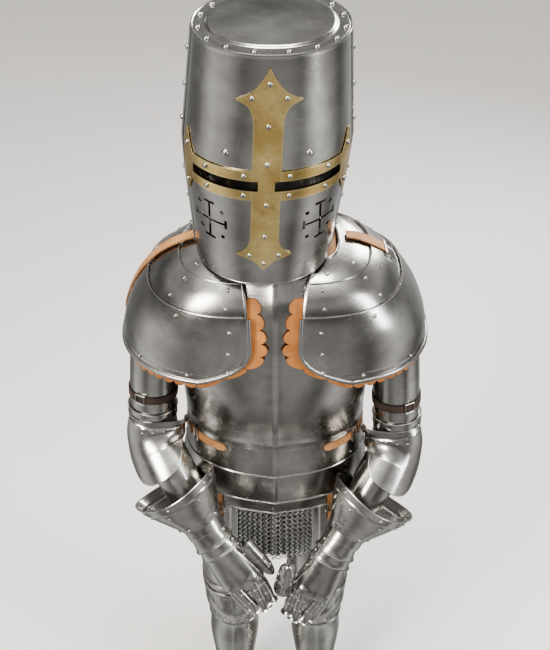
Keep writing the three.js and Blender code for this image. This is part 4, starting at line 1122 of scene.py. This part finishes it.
def build_arm(side):
    """Rerebrace, couter with its lobe, vambrace, flared cuff, wrist lames, hand, fingers and thumb.

    Each plate is a stretch of the arm's stages. Points, creases and beads are bells in turn or stage.
    """
    arm = arm_tube(side)

    def own(nets):
        nets = nets if isinstance(nets, list) else [nets]
        return nets if side == "l" else [flipped(n) for n in nets]

    def put(name, nets, finish=PLATE, slot="steel", replaced=True):
        stands_for = f"{name.removeprefix('worn_')}_{side}" if replaced else ()
        make(f"{name}_{side}", own(nets), slot, finish, stands_for)

    ring = span(0, 1, 73)[:-1]

    def hoop(stage, lift, radius):
        return rim(arm, ring, np.full(len(ring), stage), lift, radius, closed=True, sides=6)

    put("worn_rerebrace", shell(arm, ring, span(0.12, 0.9, 46), 0, STEEL, True))

    def couter_lift(turn, stage):
        point = np.exp(-((turn / 0.13) ** 2) - ((stage - 1) / 0.08) ** 2)
        crease = 1.4 * np.exp(-np.abs(stage - 0.85) / 0.012)
        return LAP + 0.2 + 9 * point + crease

    open_turns = span(-4 / 12, 9 / 12, 100)
    put("worn_couter", shell(arm, open_turns, span(0.79, 1.17, 60), couter_lift, STEEL))
    bars = [rim(arm, open_turns, np.full(100, stage), couter_lift, 1.3) for stage in (0.791, 1.169)]
    lobe, lobe_rim = couter_lobe(arm)
    put("couter_lobe", lobe, replaced=False)
    bars += [lobe_rim, hoop(0.125, -0.7, 2.2), hoop(1.105, -0.7, 2.0)]

    def slant(turn):
        """How far the cuff's mouth leans back in front, as a share of the cuff's length."""
        return 0.15 * np.exp(-(((turn - 0.52) / 0.2) ** 2)) / CUFF_LENGTH

    def cuff_outline(turn, stage):
        return turn, stage + (CUFF_END - stage) * slant(turn)

    def cuff_lift(turn, stage):
        """The table's flare, drawn out to a tip outside, flattened inside, with a bead under the mouth."""
        level = (stage - CUFF_END * slant(turn)) / (1 - slant(turn))
        flare = np.where(level < 1.8, smooth(CUFF, 1)(level), np.interp(level, CUFF[:, 0], CUFF[:, 1]))
        tip = np.exp(-np.abs((turn % 1 - 0.25) / 0.085) ** 1.4)
        away = np.where(turn > 0.6, turn - 1, turn)
        inner = np.exp(-(((away + 0.08) / 0.15) ** 4))
        band = 1.5 * np.exp(-((level - CUFF_MOUTH - 0.09) / 0.009) ** 2)
        return LAP + (flare - LAP) * (1 + 0.42 * tip - inner) + band

    def on_cuff(turns, level):
        return [cuff_outline(turn, level) for turn in turns]

    put("worn_vambrace", shell(arm, ring, span(1.1, 1.87, 40), 0, STEEL, True))
    cuff = shell(arm, ring, span(CUFF_MOUTH, CUFF_END, 70), cuff_lift, STEEL, True, cuff_outline)
    put("worn_gauntlet_cuff", cuff)
    mouth = cuff_outline(ring, CUFF_MOUTH + 0.002)[1]
    bars += [rim(arm, ring, mouth, lambda t, s: cuff_lift(t, s) - 0.8, 1.7, closed=True, sides=8)]
    put("arm_rims", bars, BRIGHT, replaced=False)

    def hemmed(base, hem):
        return lambda turn, stage: base + 2.2 * np.exp(-((stage - hem) / 0.022) ** 2)

    lames = (("wrist_lame_upper", 1.9, 2.08, -0.1), ("wrist_lame_lower", 2.05, 2.2, -LAP))
    edges = []
    part = span(HAND_FIRST, HAND_LAST, 60)
    for name, low, high, base in lames:
        put(f"worn_{name}", shell(arm, part, span(low, high, 16), hemmed(base, high), STEEL))
        edges.append(rim(arm, part, np.full(len(part), high - 0.002), base + 2.0, 1.2, sides=6))
    edges.append(rim(arm, part, np.full(len(part), 2.637), -2 * LAP, 1.2, sides=6))

    def hand_lift(turn, stage):
        finger = (turn - HAND_FIRST) / (HAND_LAST - HAND_FIRST) * FINGERS
        tendon = np.abs(np.sin(np.pi * finger)) ** 0.8
        fade = np.clip((stage - 2.3) / 0.25, 0, 1)
        knuckle = np.exp(-((stage - 2.585) / 0.03) ** 2)
        return -2 * LAP + 2.6 * tendon * fade + 2.2 * tendon * knuckle

    put("worn_hand_plate", shell(arm, part, span(2.17, 2.64, 50), hand_lift, STEEL))
    put("hand_lame_edges", edges, BRIGHT, replaced=False)
    put("worn_finger_plates", finger_nets(arm))
    put("worn_thumb_plate", thumb_nets(arm, side))

    mouth_spots = on_cuff((0.02, 0.14, 0.25, 0.37, 0.5, 0.66), CUFF_MOUTH + 0.045)
    heads = [rivets(arm, mouth_spots, cuff_lift, 3.4, 2.9),
             rivets(arm, on_cuff((0.33, 0.47, 0.62), CUFF_MOUTH + 0.15), cuff_lift, 3.2, 2.7),
             rivets(arm, on_cuff((0.32, 0.47, 0.7), 1.83), cuff_lift, 3.4, 2.9),
             rivets(arm, [(t, s) for s in (1.99, 2.12) for t in (0.24, 0.72)], 0.2, 3.8, 3.4),
             rivets(arm, [(t, s) for s in (2.22, 2.33) for t in (0.24, 0.72)], -2 * LAP, 3.8, 3.4),
             rivets(arm, [(t, 1.0) for t in (-0.12, 0.12)], couter_lift, 3.2, 2.7),
             rivets(arm, [(t, 0.81) for t in (0.3, 0.7)], couter_lift, 3.2, 2.7),
             rivets(arm, [(t, 0.93) for t in (0.46, 0.52, 0.58)], lobe_lift, 2.6, 2.1)]
    put("arm_rivets", heads, RIVET, replaced=False)
    strap = shell(arm, ring, span(0.655, 0.705, 6), LEATHER + 0.4, LEATHER, True)
    put("upper_arm_strap", strap, DARK, "sole_leather", replaced=False)
    stage = np.array([0.65, 0.65, 0.71, 0.71])
    buckle = sweep(raised(arm, np.array([0.4, 0.46, 0.46, 0.4]), stage, LEATHER + 2.0), 1.5, 6, closed=True)
    put("upper_arm_buckle", buckle, RIVET, replaced=False)


def finger_nets(arm):
    """Four fingers of three overlapping plates each: half tubes that draw together towards their tips.

    A tube is the finger's line plus half its width times cosine sideways and its height times sine outwards.
    """
    nets = []
    for finger in range(FINGERS):
        centre = HAND_FIRST + (finger + 0.5) / FINGERS * (HAND_LAST - HAND_FIRST)
        stages = span(2.58, 2.995 - 0.025 * abs(finger - 1.6), 30)
        drawn = 0.5 + (centre - 0.5) * (1 - 0.42 * np.clip((stages - 2.6) / 0.4, 0, 1))
        line = raised(arm, drawn, stages, -3 * LAP - 9.0)
        out = normal(arm, drawn, stages)
        ahead = unit(np.gradient(line, axis=0))
        side = unit(np.cross(ahead, out))
        out = np.cross(side, ahead)
        length = span(0, 1, 30)

        def tube(turn, place, line=line, out=out, side=side):
            turn, place = np.broadcast_arrays(turn, place)
            key = np.clip(place, 0, 1)
            here = np.stack([np.interp(key, length, line[:, i]) for i in range(3)], -1)
            up = np.stack([np.interp(key, length, out[:, i]) for i in range(3)], -1)
            flank = np.stack([np.interp(key, length, side[:, i]) for i in range(3)], -1)
            beyond = (place - key)[..., None] * np.linalg.norm(line[-1] - line[0])
            here = here + unit(line[-1] - line[-2]) * beyond
            angle = np.pi * turn
            wide = 13.2 * (1 - 0.3 * key)
            return here + flank * (wide * np.cos(angle))[..., None] + up * (10.6 * np.sin(angle))[..., None]

        sections = ((0.0, 0.42, 1.4), (0.36, 0.72, 0.7), (0.66, 1.0, 0.0))
        for low, high, lift in sections:
            def bulge(turn, place, low=low, high=high, lift=lift):
                share = (place - low) / (high - low)
                if high < 1.0:
                    return lift + 0.7 * np.exp(-((share - 1) / 0.1) ** 2)
                end = np.sqrt(np.clip(1 - np.maximum((share - 0.4) / 0.62, 0) ** 2, 0.02, 1))
                return lift - (1 - end) * 6.5
            nets.append(shell(tube, span(-0.08, 1.08, 20), span(low, high, 14), bulge, 1.2))
    return [flip_if_inward(net) for net in nets]


def thumb_nets(arm, side):
    """Thumb of three overlapping plates along a line from the hand to its tip, rounded off at the end."""
    stage, tip, seat, size = THUMBS[side]
    base = raised(arm, 0.75, stage, size + seat - 2 * LAP)
    tip = np.array(tip, float)
    path = bent_path((base + (base - tip) * 0.12, base + (tip - base) * 0.5, tip), (1,))

    def round_tip(at):
        return size * np.sqrt(np.clip(1 - (np.maximum(at - 1.3, 0) / 0.72) ** 2, 0.04, 1))

    tube = path_tube(path, (0, 1, 0), round_tip, round_tip)
    nets = []
    for low, high, lift in ((0.0, 0.85, 0.4), (0.74, 1.42, -0.9), (1.32, 2.0, -2.0)):
        def bulge(turn, place, low=low, high=high, lift=lift):
            share = (place - low) / (high - low)
            return lift + 1.2 * np.exp(-((share - 0.16) / 0.14) ** 2)
        nets.append(shell(tube, span(0.1, 0.9, 30), span(low, high - 0.004, 18), bulge, 1.2))
    nets.append(rivets(tube, [(t, p) for t in (0.3, 0.7) for p in (0.79, 1.37)], 0.4, 3.0, 2.5))
    return nets


def flip_if_inward(net):
    """A half tube built the wrong way round is turned about, judged from its first outer face."""
    quad = net["v"][net["f"][0][len(net["f"][0]) // 2]]
    centre = net["v"].mean(0)
    way = np.cross(quad[1] - quad[0], quad[2] - quad[0])
    return net if way @ (quad[0] - centre) >= 0 else turned_about(net, net["v"])


def build_legs():
    """Cuisse, knee lame, poleyn with flutes, greave with a keel, jointed sabaton and sole.

    Each plate is a stretch of the leg's heights. The knee's flutes are bells in turn about lines that spread
    away from its middle, and its bowl is a bell in height times the root of a sine.
    """
    ring = span(0, 2, 97)[:-1]
    part = span(-1 / 7, 8 / 7, 80)

    def cuisse_lift(turn, z):
        front = np.where((turn > 0) & (turn < 1), 1.0, 0.0)
        return 1.6 * front * np.exp(-np.abs(turn - 0.5) / 0.02) + 1.4 * np.exp(-((z - 880) / 2.5) ** 2)

    def greave_lift(turn, z):
        keel = np.where((turn > 0) & (turn < 1), 3.2, 0.0) * np.exp(-np.abs(turn - 0.5) / 0.035)
        return keel * np.clip((z - 110) / 60, 0, 1) * np.clip((470 - z) / 30, 0.3, 1)

    make_pair("worn_cuisse", shell(leg, ring, span(560, 905, 60), cuisse_lift, STEEL, True), "steel", PLATE)
    make_pair("worn_greave", shell(leg, ring, span(94, 462, 64), greave_lift, STEEL, True), "steel", PLATE)

    def lame_lift(turn, z):
        return LAP + 1.2 * np.exp(-((z - 586) / 2.5) ** 2)

    make_pair("worn_knee_lame", shell(leg, part, span(566, 606, 24), lame_lift, STEEL), "steel", PLATE)

    def cup_lift(turn, z):
        middle = np.exp(-(((z - KNEE) / 34) ** 2))
        base = LAP + LAP * np.clip((z - 470) / 90, 0, 1) + 0.1
        bowl = 8 * middle * np.sqrt(np.maximum(0, np.sin(np.pi * np.clip(turn, 0, 1))))
        flute = np.zeros_like(turn)
        for centre in (0.26, 0.38, 0.5, 0.62, 0.74):
            spread = 0.5 + (centre - 0.5) * (0.75 + np.abs(z - KNEE) / 150)
            flute = flute + np.exp(-((turn - spread) / 0.013) ** 2)
        fan = np.clip((np.abs(z - KNEE) - 16) / 14, 0, 1) * np.clip((64 - np.abs(z - KNEE)) / 12, 0, 1)
        keel = 2.6 * np.exp(-np.abs(turn - 0.5) / 0.02) * middle
        ridge = 1.3 * (np.exp(-((z - 566) / 2.0) ** 2) + np.exp(-((z - 446) / 2.0) ** 2))
        return base + bowl + 2.2 * flute * fan + keel + ridge

    cup = shell(leg, span(-1 / 7, 8 / 7, 120), span(436, 580, 84), cup_lift, STEEL)
    make_pair("worn_poleyn", cup, "steel", PLATE)
    make_pair("poleyn_wing", leg_wing(), "steel", PLATE, replaced=False)
    trims = [rim(leg, part, np.full(len(part), z), lift, 1.6, sides=6)
             for z, lift in ((437, LAP + 0.2), (579, 2 * LAP + 0.1), (605, LAP + 0.2))]
    trims.append(rim(leg, ring, np.full(len(ring), 903.5), -0.6, 2.4, closed=True))
    trims.append(rim(leg, ring, np.full(len(ring), 97), -0.4, 1.8, closed=True, sides=6))
    make_pair("leg_rims", trims, "steel", BRIGHT, replaced=False)
    heads = [rivets(leg, [(t, z) for t in (0.02, 0.98) for z in (452, 560)], cup_lift, 3.2, 2.6),
             rivets(leg, [(t, 596) for t in (0.05, 0.95)], LAP, 3.0, 2.4),
             rivets(leg, [(t, z) for t in (1.02, 1.98) for z in (130, 410)], 0, 3.0, 2.4),
             rivets(leg, [(t, z) for t in (1.02, 1.98) for z in (640, 860)], 0, 3.0, 2.4)]
    make_pair("leg_rivets", heads, "steel", RIVET, replaced=False)
    straps, buckles = [], []
    for z in (180, 380, 700, 840):
        straps.append(shell(leg, span(1.08, 1.92, 60), span(z - 9, z + 9, 6), LEATHER + 0.5, LEATHER))
        corners = np.array([1.2, 1.27, 1.27, 1.2]), z + 12.0 * np.array([-1, -1, 1, 1])
        buckles.append(sweep(raised(leg, *corners, LEATHER + 2.2), 1.6, 6, closed=True))
    make_pair("leg_straps", straps, "tan_leather", PALE, replaced=False)
    make_pair("leg_buckles", buckles, "steel", RIVET, replaced=False)
    build_feet()


def leg_wing():
    """A small heart-shaped plate at the outer side of the knee: a half ellipse with a notch in its middle."""
    def outline(share, tall):
        z = KNEE + 34 * tall
        reach = 0.13 * np.sqrt(np.clip(1 - tall**2, 0, 1)) * (1 - 0.3 * np.exp(-(tall / 0.25) ** 2))
        return 1.0 + reach * (share - 0.12), z

    def lift(turn, z):
        return 2 * LAP + 3 + 9 * np.clip((turn - 1.0) / 0.13, 0, 1)
    return shell(leg, span(0, 1, 24), span(-0.995, 0.995, 32), lift, STEEL, outline=outline)


def build_feet():
    """Sabaton of overlapping lames cut flat at the sole, and the leather sole.

    The lames are a saw tooth along the foot. The sole is its outline at each height, drawn in by an inset.
    """
    def lames(turn, stage):
        share = (stage * 5.0) % 1
        step = 1.6 * (1 - share) * np.clip((stage - 0.9) / 0.1, 0, 1) * np.clip((1.8 - stage) / 0.1, 0, 1)
        return step + 0.6 * np.exp(-((stage - 0.12) / 0.03) ** 2)

    ring = span(0, 1, 61)[:-1]
    net = shell(foot, ring, np.concatenate([span(0, 0.9, 24)[:-1], span(0.9, 2, 90)]), lames, STEEL, True)
    net["v"][:, 2] = np.maximum(net["v"][:, 2], SOLE_TOP + GAP)
    make_pair("worn_sabaton", net, "steel", PLATE, weld=True)
    corners = sole_line()
    closed = np.vstack([corners, corners[:1]])
    walked = np.concatenate([[0], np.cumsum(np.linalg.norm(np.diff(closed, axis=0), axis=1))])
    count = 160
    even = np.linspace(0, walked[-1], count, endpoint=False)
    line = np.stack([np.interp(even, walked, closed[:, i]) for i in range(2)], -1)
    middle = line.mean(0)
    away = line - middle
    reach = np.maximum(np.linalg.norm(away, axis=1), 1)[:, None]
    rows = []
    insets = ((60, 0), (6, 0), (1.0, 0), (0, 0.6), (0, 4.0), (0.6, 7.4), (1.6, SOLE_TOP), (6, SOLE_TOP),
              (60, SOLE_TOP))
    for inset, z in insets:
        shrink = np.clip(1 - inset / reach, 0.02, 1)
        rows.append(np.column_stack([middle + away * shrink, np.full(count, float(z))]))
    verts = np.concatenate(rows)
    faces, _, _ = grid_faces(len(rows), count, True)
    first, second = np.arange(1, count - 1), np.arange(2, count)
    low_fan = np.stack([np.zeros(count - 2, int), second, first], -1)
    base = (len(rows) - 1) * count
    high_fan = base + np.stack([np.zeros(count - 2, int), first, second], -1)
    net = {"v": verts, "f": [faces, low_fan, high_fan],
           "uv": [np.zeros((faces.size, 2)), np.zeros((low_fan.size, 2)), np.zeros((high_fan.size, 2))],
           "e": np.full(len(verts), 0.2)}
    make_pair("worn_sole", net, "sole_leather", DARK)


def bezier(a, b, c, d, count):
    """Points of a cubic Bezier curve, without its last one."""
    t = np.linspace(0, 1, count, endpoint=False)[:, None]
    a, b, c, d = (np.array(p, float) for p in (a, b, c, d))
    return a * (1 - t) ** 3 + 3 * b * t * (1 - t) ** 2 + 3 * c * t**2 * (1 - t) + d * t**3


def sole_line():
    """Outline of the sole, heel first, counter-clockwise from above."""
    angle = np.linspace(np.pi, 0, 30, endpoint=False)
    heel = np.stack([46 * np.cos(angle), 8 + 46 * np.sin(angle)], -1)
    curves = [bezier((46, 8), (46, -60), (64, -110), (60, -150), 20),
              bezier((60, -150), (54, -190), (34, -214), (16, -218), 16),
              bezier((16, -218), (-10, -212), (-32, -180), (-38, -150), 16),
              bezier((-38, -150), (-42, -110), (-46, -50), (-46, 8), 20)]
    return np.concatenate([heel] + curves)[::-1] + (ankle_x, ankle_y)


def build_straps():
    """Waist and shoulder straps and the two ends of the chin strap.

    A strap's half width is the root of a power of the distance to its tip, and full past it.
    """
    lift = LEATHER + GAP - LAP
    half_width = 9.6

    def pointed(turn, z):
        reach = np.clip((turn - 10.6 / 16) / (0.35 / 16), 0, 1)
        half = half_width * np.sqrt(np.clip(1 - (1 - reach) ** 1.6, 0.02, 1))
        return turn, WAIST_STRAP + half * z

    turns = np.unique(np.concatenate([span(10.6, 12.7, 140) / 16, span(12.7, 20, 110) / 16]))
    waist = shell(torso, turns, span(-1, 1, 17), lift, LEATHER, outline=pointed, worn=2.0)
    make_pair("worn_waist_strap", waist, "tan_leather", PALE)
    # Painted shade: the strap's holes are dark discs a little proud of the leather, standing in for the
    # shadow inside each hole
    shaded_hole_discs = rivets(torso, [(spot / 16, WAIST_STRAP) for spot in (11.62, 12.05, 12.48)], lift - 0.35, 1.9, 0.5)
    make_pair("waist_strap_hole_shade", shaded_hole_discs, "sole_leather", DARK, replaced=False)
    corners = np.array([12.95, 13.35, 13.35, 12.95]) / 16, WAIST_STRAP + 14.0 * np.array([-1, -1, 1, 1])
    frame_line = raised(torso, *corners, lift + 1.8)
    keeper = shell(torso, span(13.7, 13.95, 6) / 16, span(1103, 1127, 10), lift + LEATHER + 0.3, LEATHER)
    prong = rim(torso, np.array([12.9, 13.1, 13.35]) / 16, np.full(3, WAIST_STRAP), lift + 1.4, 1.2, sides=6)
    buckle = [sweep(frame_line, 1.9, 8, closed=True), prong]
    make_pair("waist_buckles", buckle, "steel", RIVET, replaced=False)
    make_pair("waist_keepers", keeper, "tan_leather", PALE, replaced=False)
    seam = []
    for side in (-0.78, 0.78):
        for turn in span(12.2, 15.8, 70) / 16:
            run = turn + np.array([0, 0.0006, 0.0018, 0.0024])
            rise = lift + np.array([-0.2, 0.35, 0.35, -0.2])
            stitch = raised(torso, run, np.full(4, WAIST_STRAP + half_width * side), rise)
            seam.append(sweep(stitch, 0.45, 4))
    make_pair("waist_strap_stitches", seam, "tan_leather", TAN, replaced=False)
    build_shoulder_straps()
    build_chin_straps()


# Shoulder strap: share of its length, how far it reaches out to the torso's face, height
ARCH = np.array([
    (0, 1, 1464), (0.12, 1, 1478), (0.22, 1, 1491), (0.32, 0.8, 1500), (0.42, 0.5, 1505), (0.5, 0, 1505.5)])
ARCH_SEAT = 1491


def torso_depth(x, z, index):
    """Depth of the torso's superellipse at a distance from the middle."""
    share = np.abs(x) / smooth(TORSO, 1)(z)
    return smooth(TORSO, index)(z) * (1 - share**TORSO_POWER) ** (1 / TORSO_POWER)


def arch(across, t):
    """Middle surface of a shoulder strap, front end to back end, laid on the torso's depth at each side."""
    across, t = np.broadcast_arrays(np.asarray(across, float), np.asarray(t, float))
    x = 79 + 24 * across
    near = np.minimum(t, 1 - t)
    height = np.interp(near, ARCH[:, 0], ARCH[:, 2])
    reach = np.interp(near, ARCH[:, 0], ARCH[:, 1])
    seat = np.minimum(height, ARCH_SEAT)
    depth = np.where(t < 0.5, torso_depth(x, seat, 2), torso_depth(x, seat, 3))
    return stack(x, np.where(t < 0.5, -1, 1) * reach * (depth + 1.5), height)


def build_shoulder_straps():
    """A strap over each shoulder with its rivets and buckle."""
    band = shell(arch, span(0, 1, 9), span(0.002, 0.998, 90), LEATHER, LEATHER, worn=2.0)
    make_pair("worn_shoulder_strap", band, "tan_leather", PALE)
    heads = rivets(arch, [(0.25, 0.03), (0.75, 0.03), (0.25, 0.97), (0.75, 0.97)], LEATHER, 3.0, 2.2)
    corners = np.array([-0.12, 1.12, 1.12, -0.12]), np.array([0.13, 0.13, 0.19, 0.19])
    buckle = sweep(raised(arch, *corners, LEATHER + 1.8), 1.7, 6, closed=True)
    make_pair("shoulder_buckles", [heads, buckle], "steel", RIVET, replaced=False)


def build_chin_straps():
    """Two ends of the chin strap, laid over the shoulders from under the helm, with a half round tongue."""
    middle = 9.5 / 18

    def outline(turn, level):
        return middle + (turn - middle) * (1 + 1.4 * np.maximum(0, level - 0.5)), level

    def rounded(turn, level, low=0.12):
        tip = np.clip((level - low) / 0.05, 0, 1)
        narrow = np.sqrt(np.clip(1 - (1 - tip) ** 2, 0.03, 1))
        turn, level = outline(turn, level)
        return middle + (turn - middle) * narrow, level

    wide = span(9.15, 9.85, 9) / 18
    tongue_lift = 2 * GAP + LEATHER
    levels = np.unique(np.concatenate([span(0.12, 0.18, 16), span(0.18, 0.95, 60)]))
    tongue = shell(dome, wide, levels, tongue_lift, LEATHER, outline=rounded, worn=2.0)
    make("worn_helm_strap_tongue", flipped(tongue), "tan_leather", PALE, "helm_strap_tongue")
    hole_spots = [(middle, level) for level in (0.2, 0.26, 0.32, 0.38, 0.44)]
    # Painted shade: the tongue's holes are dark discs a little proud of the leather, standing in for the
    # shadow inside each hole
    shaded_hole_discs = rivets(dome, hole_spots, tongue_lift - 0.35, 1.9, 0.5)
    make("helm_strap_hole_shade", flipped(shaded_hole_discs), "sole_leather", DARK)
    lift = GAP + 0.2 + LEATHER - LAP
    end = shell(dome, wide, span(0.7, 0.95, 40), lift, LEATHER, outline=outline, worn=2.0)
    make("worn_helm_strap_buckle", end, "tan_leather", PALE, "helm_strap_buckle")
    corners = middle + 0.034 * np.array([-1, 1, 1, -1]), np.array([0.665, 0.665, 0.715, 0.715])
    buckle = sweep(raised(dome, *corners, lift + 1.2), 1.9, 8, closed=True)
    prong = rim(dome, np.full(4, middle), span(0.66, 0.72, 4), lift + 1.6, 1.2, sides=6)
    heads = rivets(dome, [(middle, 0.75)], lift, 3.0, 2.0)
    make("helm_strap_buckle_frame", [buckle, prong, heads], "steel", RIVET)


# What polished steel mirrors: greys round the horizon by bearing, and greys upwards by height
LOW_BANDS = [
    (-180, 0.5), (-140, 0.2), (-112, 0.25), (-85, 0.85), (-60, 0.6), (-36, 0.2), (-8, 0.42), (22, 0.4),
    (42, 0.13), (68, 0.8), (90, 0.5), (112, 0.14), (145, 0.45), (180, 0.5)]
HIGH_BANDS = [
    (0.0, 0.34), (0.12, 0.12), (0.3, 0.14), (0.45, 0.5), (0.6, 0.4), (0.72, 0.24), (0.85, 0.8), (1.0, 0.95)]
# The photograph's camera: height of the picture and focal length in pixels, tilt in degrees, place in metres
PHOTO_TALL, FOCAL, TILT = 650, 884.2, 39.3
EYE_AHEAD, EYE_UP = 1.2522, 2.3439


def build_room():
    """Pale floor, soft lights and the camera at the photograph's viewing angle."""
    mesh = bpy.data.meshes.new("floor")
    half = 30.0
    corners = [(-half, -half, 0), (half, -half, 0), (half, half, 0), (-half, half, 0)]
    mesh.from_pydata(corners, [], [(0, 1, 2, 3)])
    floor = bpy.data.objects.new("floor", mesh)
    bpy.context.scene.collection.objects.link(floor)
    paint = Finish(bpy.data.materials.new("pale_floor"))
    tone = paint.noise(paint.object_place(), 0.9, 2.0)
    color = paint.blend(tone, rgb(0.88, 0.83, 0.785), rgb(0.92, 0.875, 0.83))
    mesh.materials.append(paint.done(color, 0.85))
    floor.visible_glossy = False

    world = bpy.data.worlds.new("room")
    bpy.context.scene.world = world
    sky = Finish(world)
    split = sky.node("ShaderNodeSeparateXYZ", {}, {0: sky.node("ShaderNodeTexCoord", {}, {}, "Generated")})
    x, y, z = (Value(sky, split.socket.node.outputs[i]) for i in range(3))
    bearing = x.math("ARCTAN2", y * -1.0) / 360.0 * (180 / math.pi) + 0.5
    low = sky.ramp(bearing, [(degrees / 360 + 0.5, grey) for degrees, grey in LOW_BANDS])
    high = sky.ramp(z, HIGH_BANDS)
    below = z.above(0.1, -0.1)
    sky.set(sky.shader.inputs["Color"], sky.blend(below, high, low))
    sky.shader.inputs["Strength"].default_value = 1.15

    def lamp(name, spot, aim, size, power, tint=(1, 1, 1)):
        light = bpy.data.lights.new(name, "AREA")
        light.shape = "RECTANGLE"
        light.size, light.size_y = size
        light.energy = power
        light.color = tint
        made = bpy.data.objects.new(name, light)
        bpy.context.scene.collection.objects.link(made)
        made.location = spot
        way = Vector(aim) - Vector(spot)
        made.rotation_euler = way.to_track_quat("-Z", "Y").to_euler()

    lamp("key", (-1.9, -2.0, 3.2), (0, 0, 1.4), (0.9, 1.6), 105, (1, 0.97, 0.92))
    lamp("fill", (2.5, -1.2, 2.3), (0, 0, 1.3), (0.5, 2.0), 48, (0.95, 0.97, 1))
    lamp("back", (1.4, 2.6, 2.6), (0, 0, 1.2), (1.2, 0.9), 60)
    lamp("ceiling", (0, -0.3, 4.4), (0, 0, 1), (2.0, 0.9), 95)

    view = bpy.data.cameras.new("camera")
    view.sensor_width = 36
    view.sensor_fit = "AUTO"
    view.lens = FOCAL / PHOTO_TALL * view.sensor_width
    eye = bpy.data.objects.new("camera", view)
    bpy.context.scene.collection.objects.link(eye)
    eye.location = (SHIFT[0] / 1000, -EYE_AHEAD + SHIFT[1] / 1000, EYE_UP)
    eye.rotation_euler = (math.radians(90 - TILT), 0, 0)
    bpy.context.scene.camera = eye
    bpy.context.scene.view_settings.view_transform = "AgX"
    bpy.context.scene.view_settings.look = "AgX - Medium High Contrast"


build_room()
build_helm()
build_cuirass()
build_shoulders()
for arm_side in "rl":
    build_arm(arm_side)
build_legs()
build_straps()
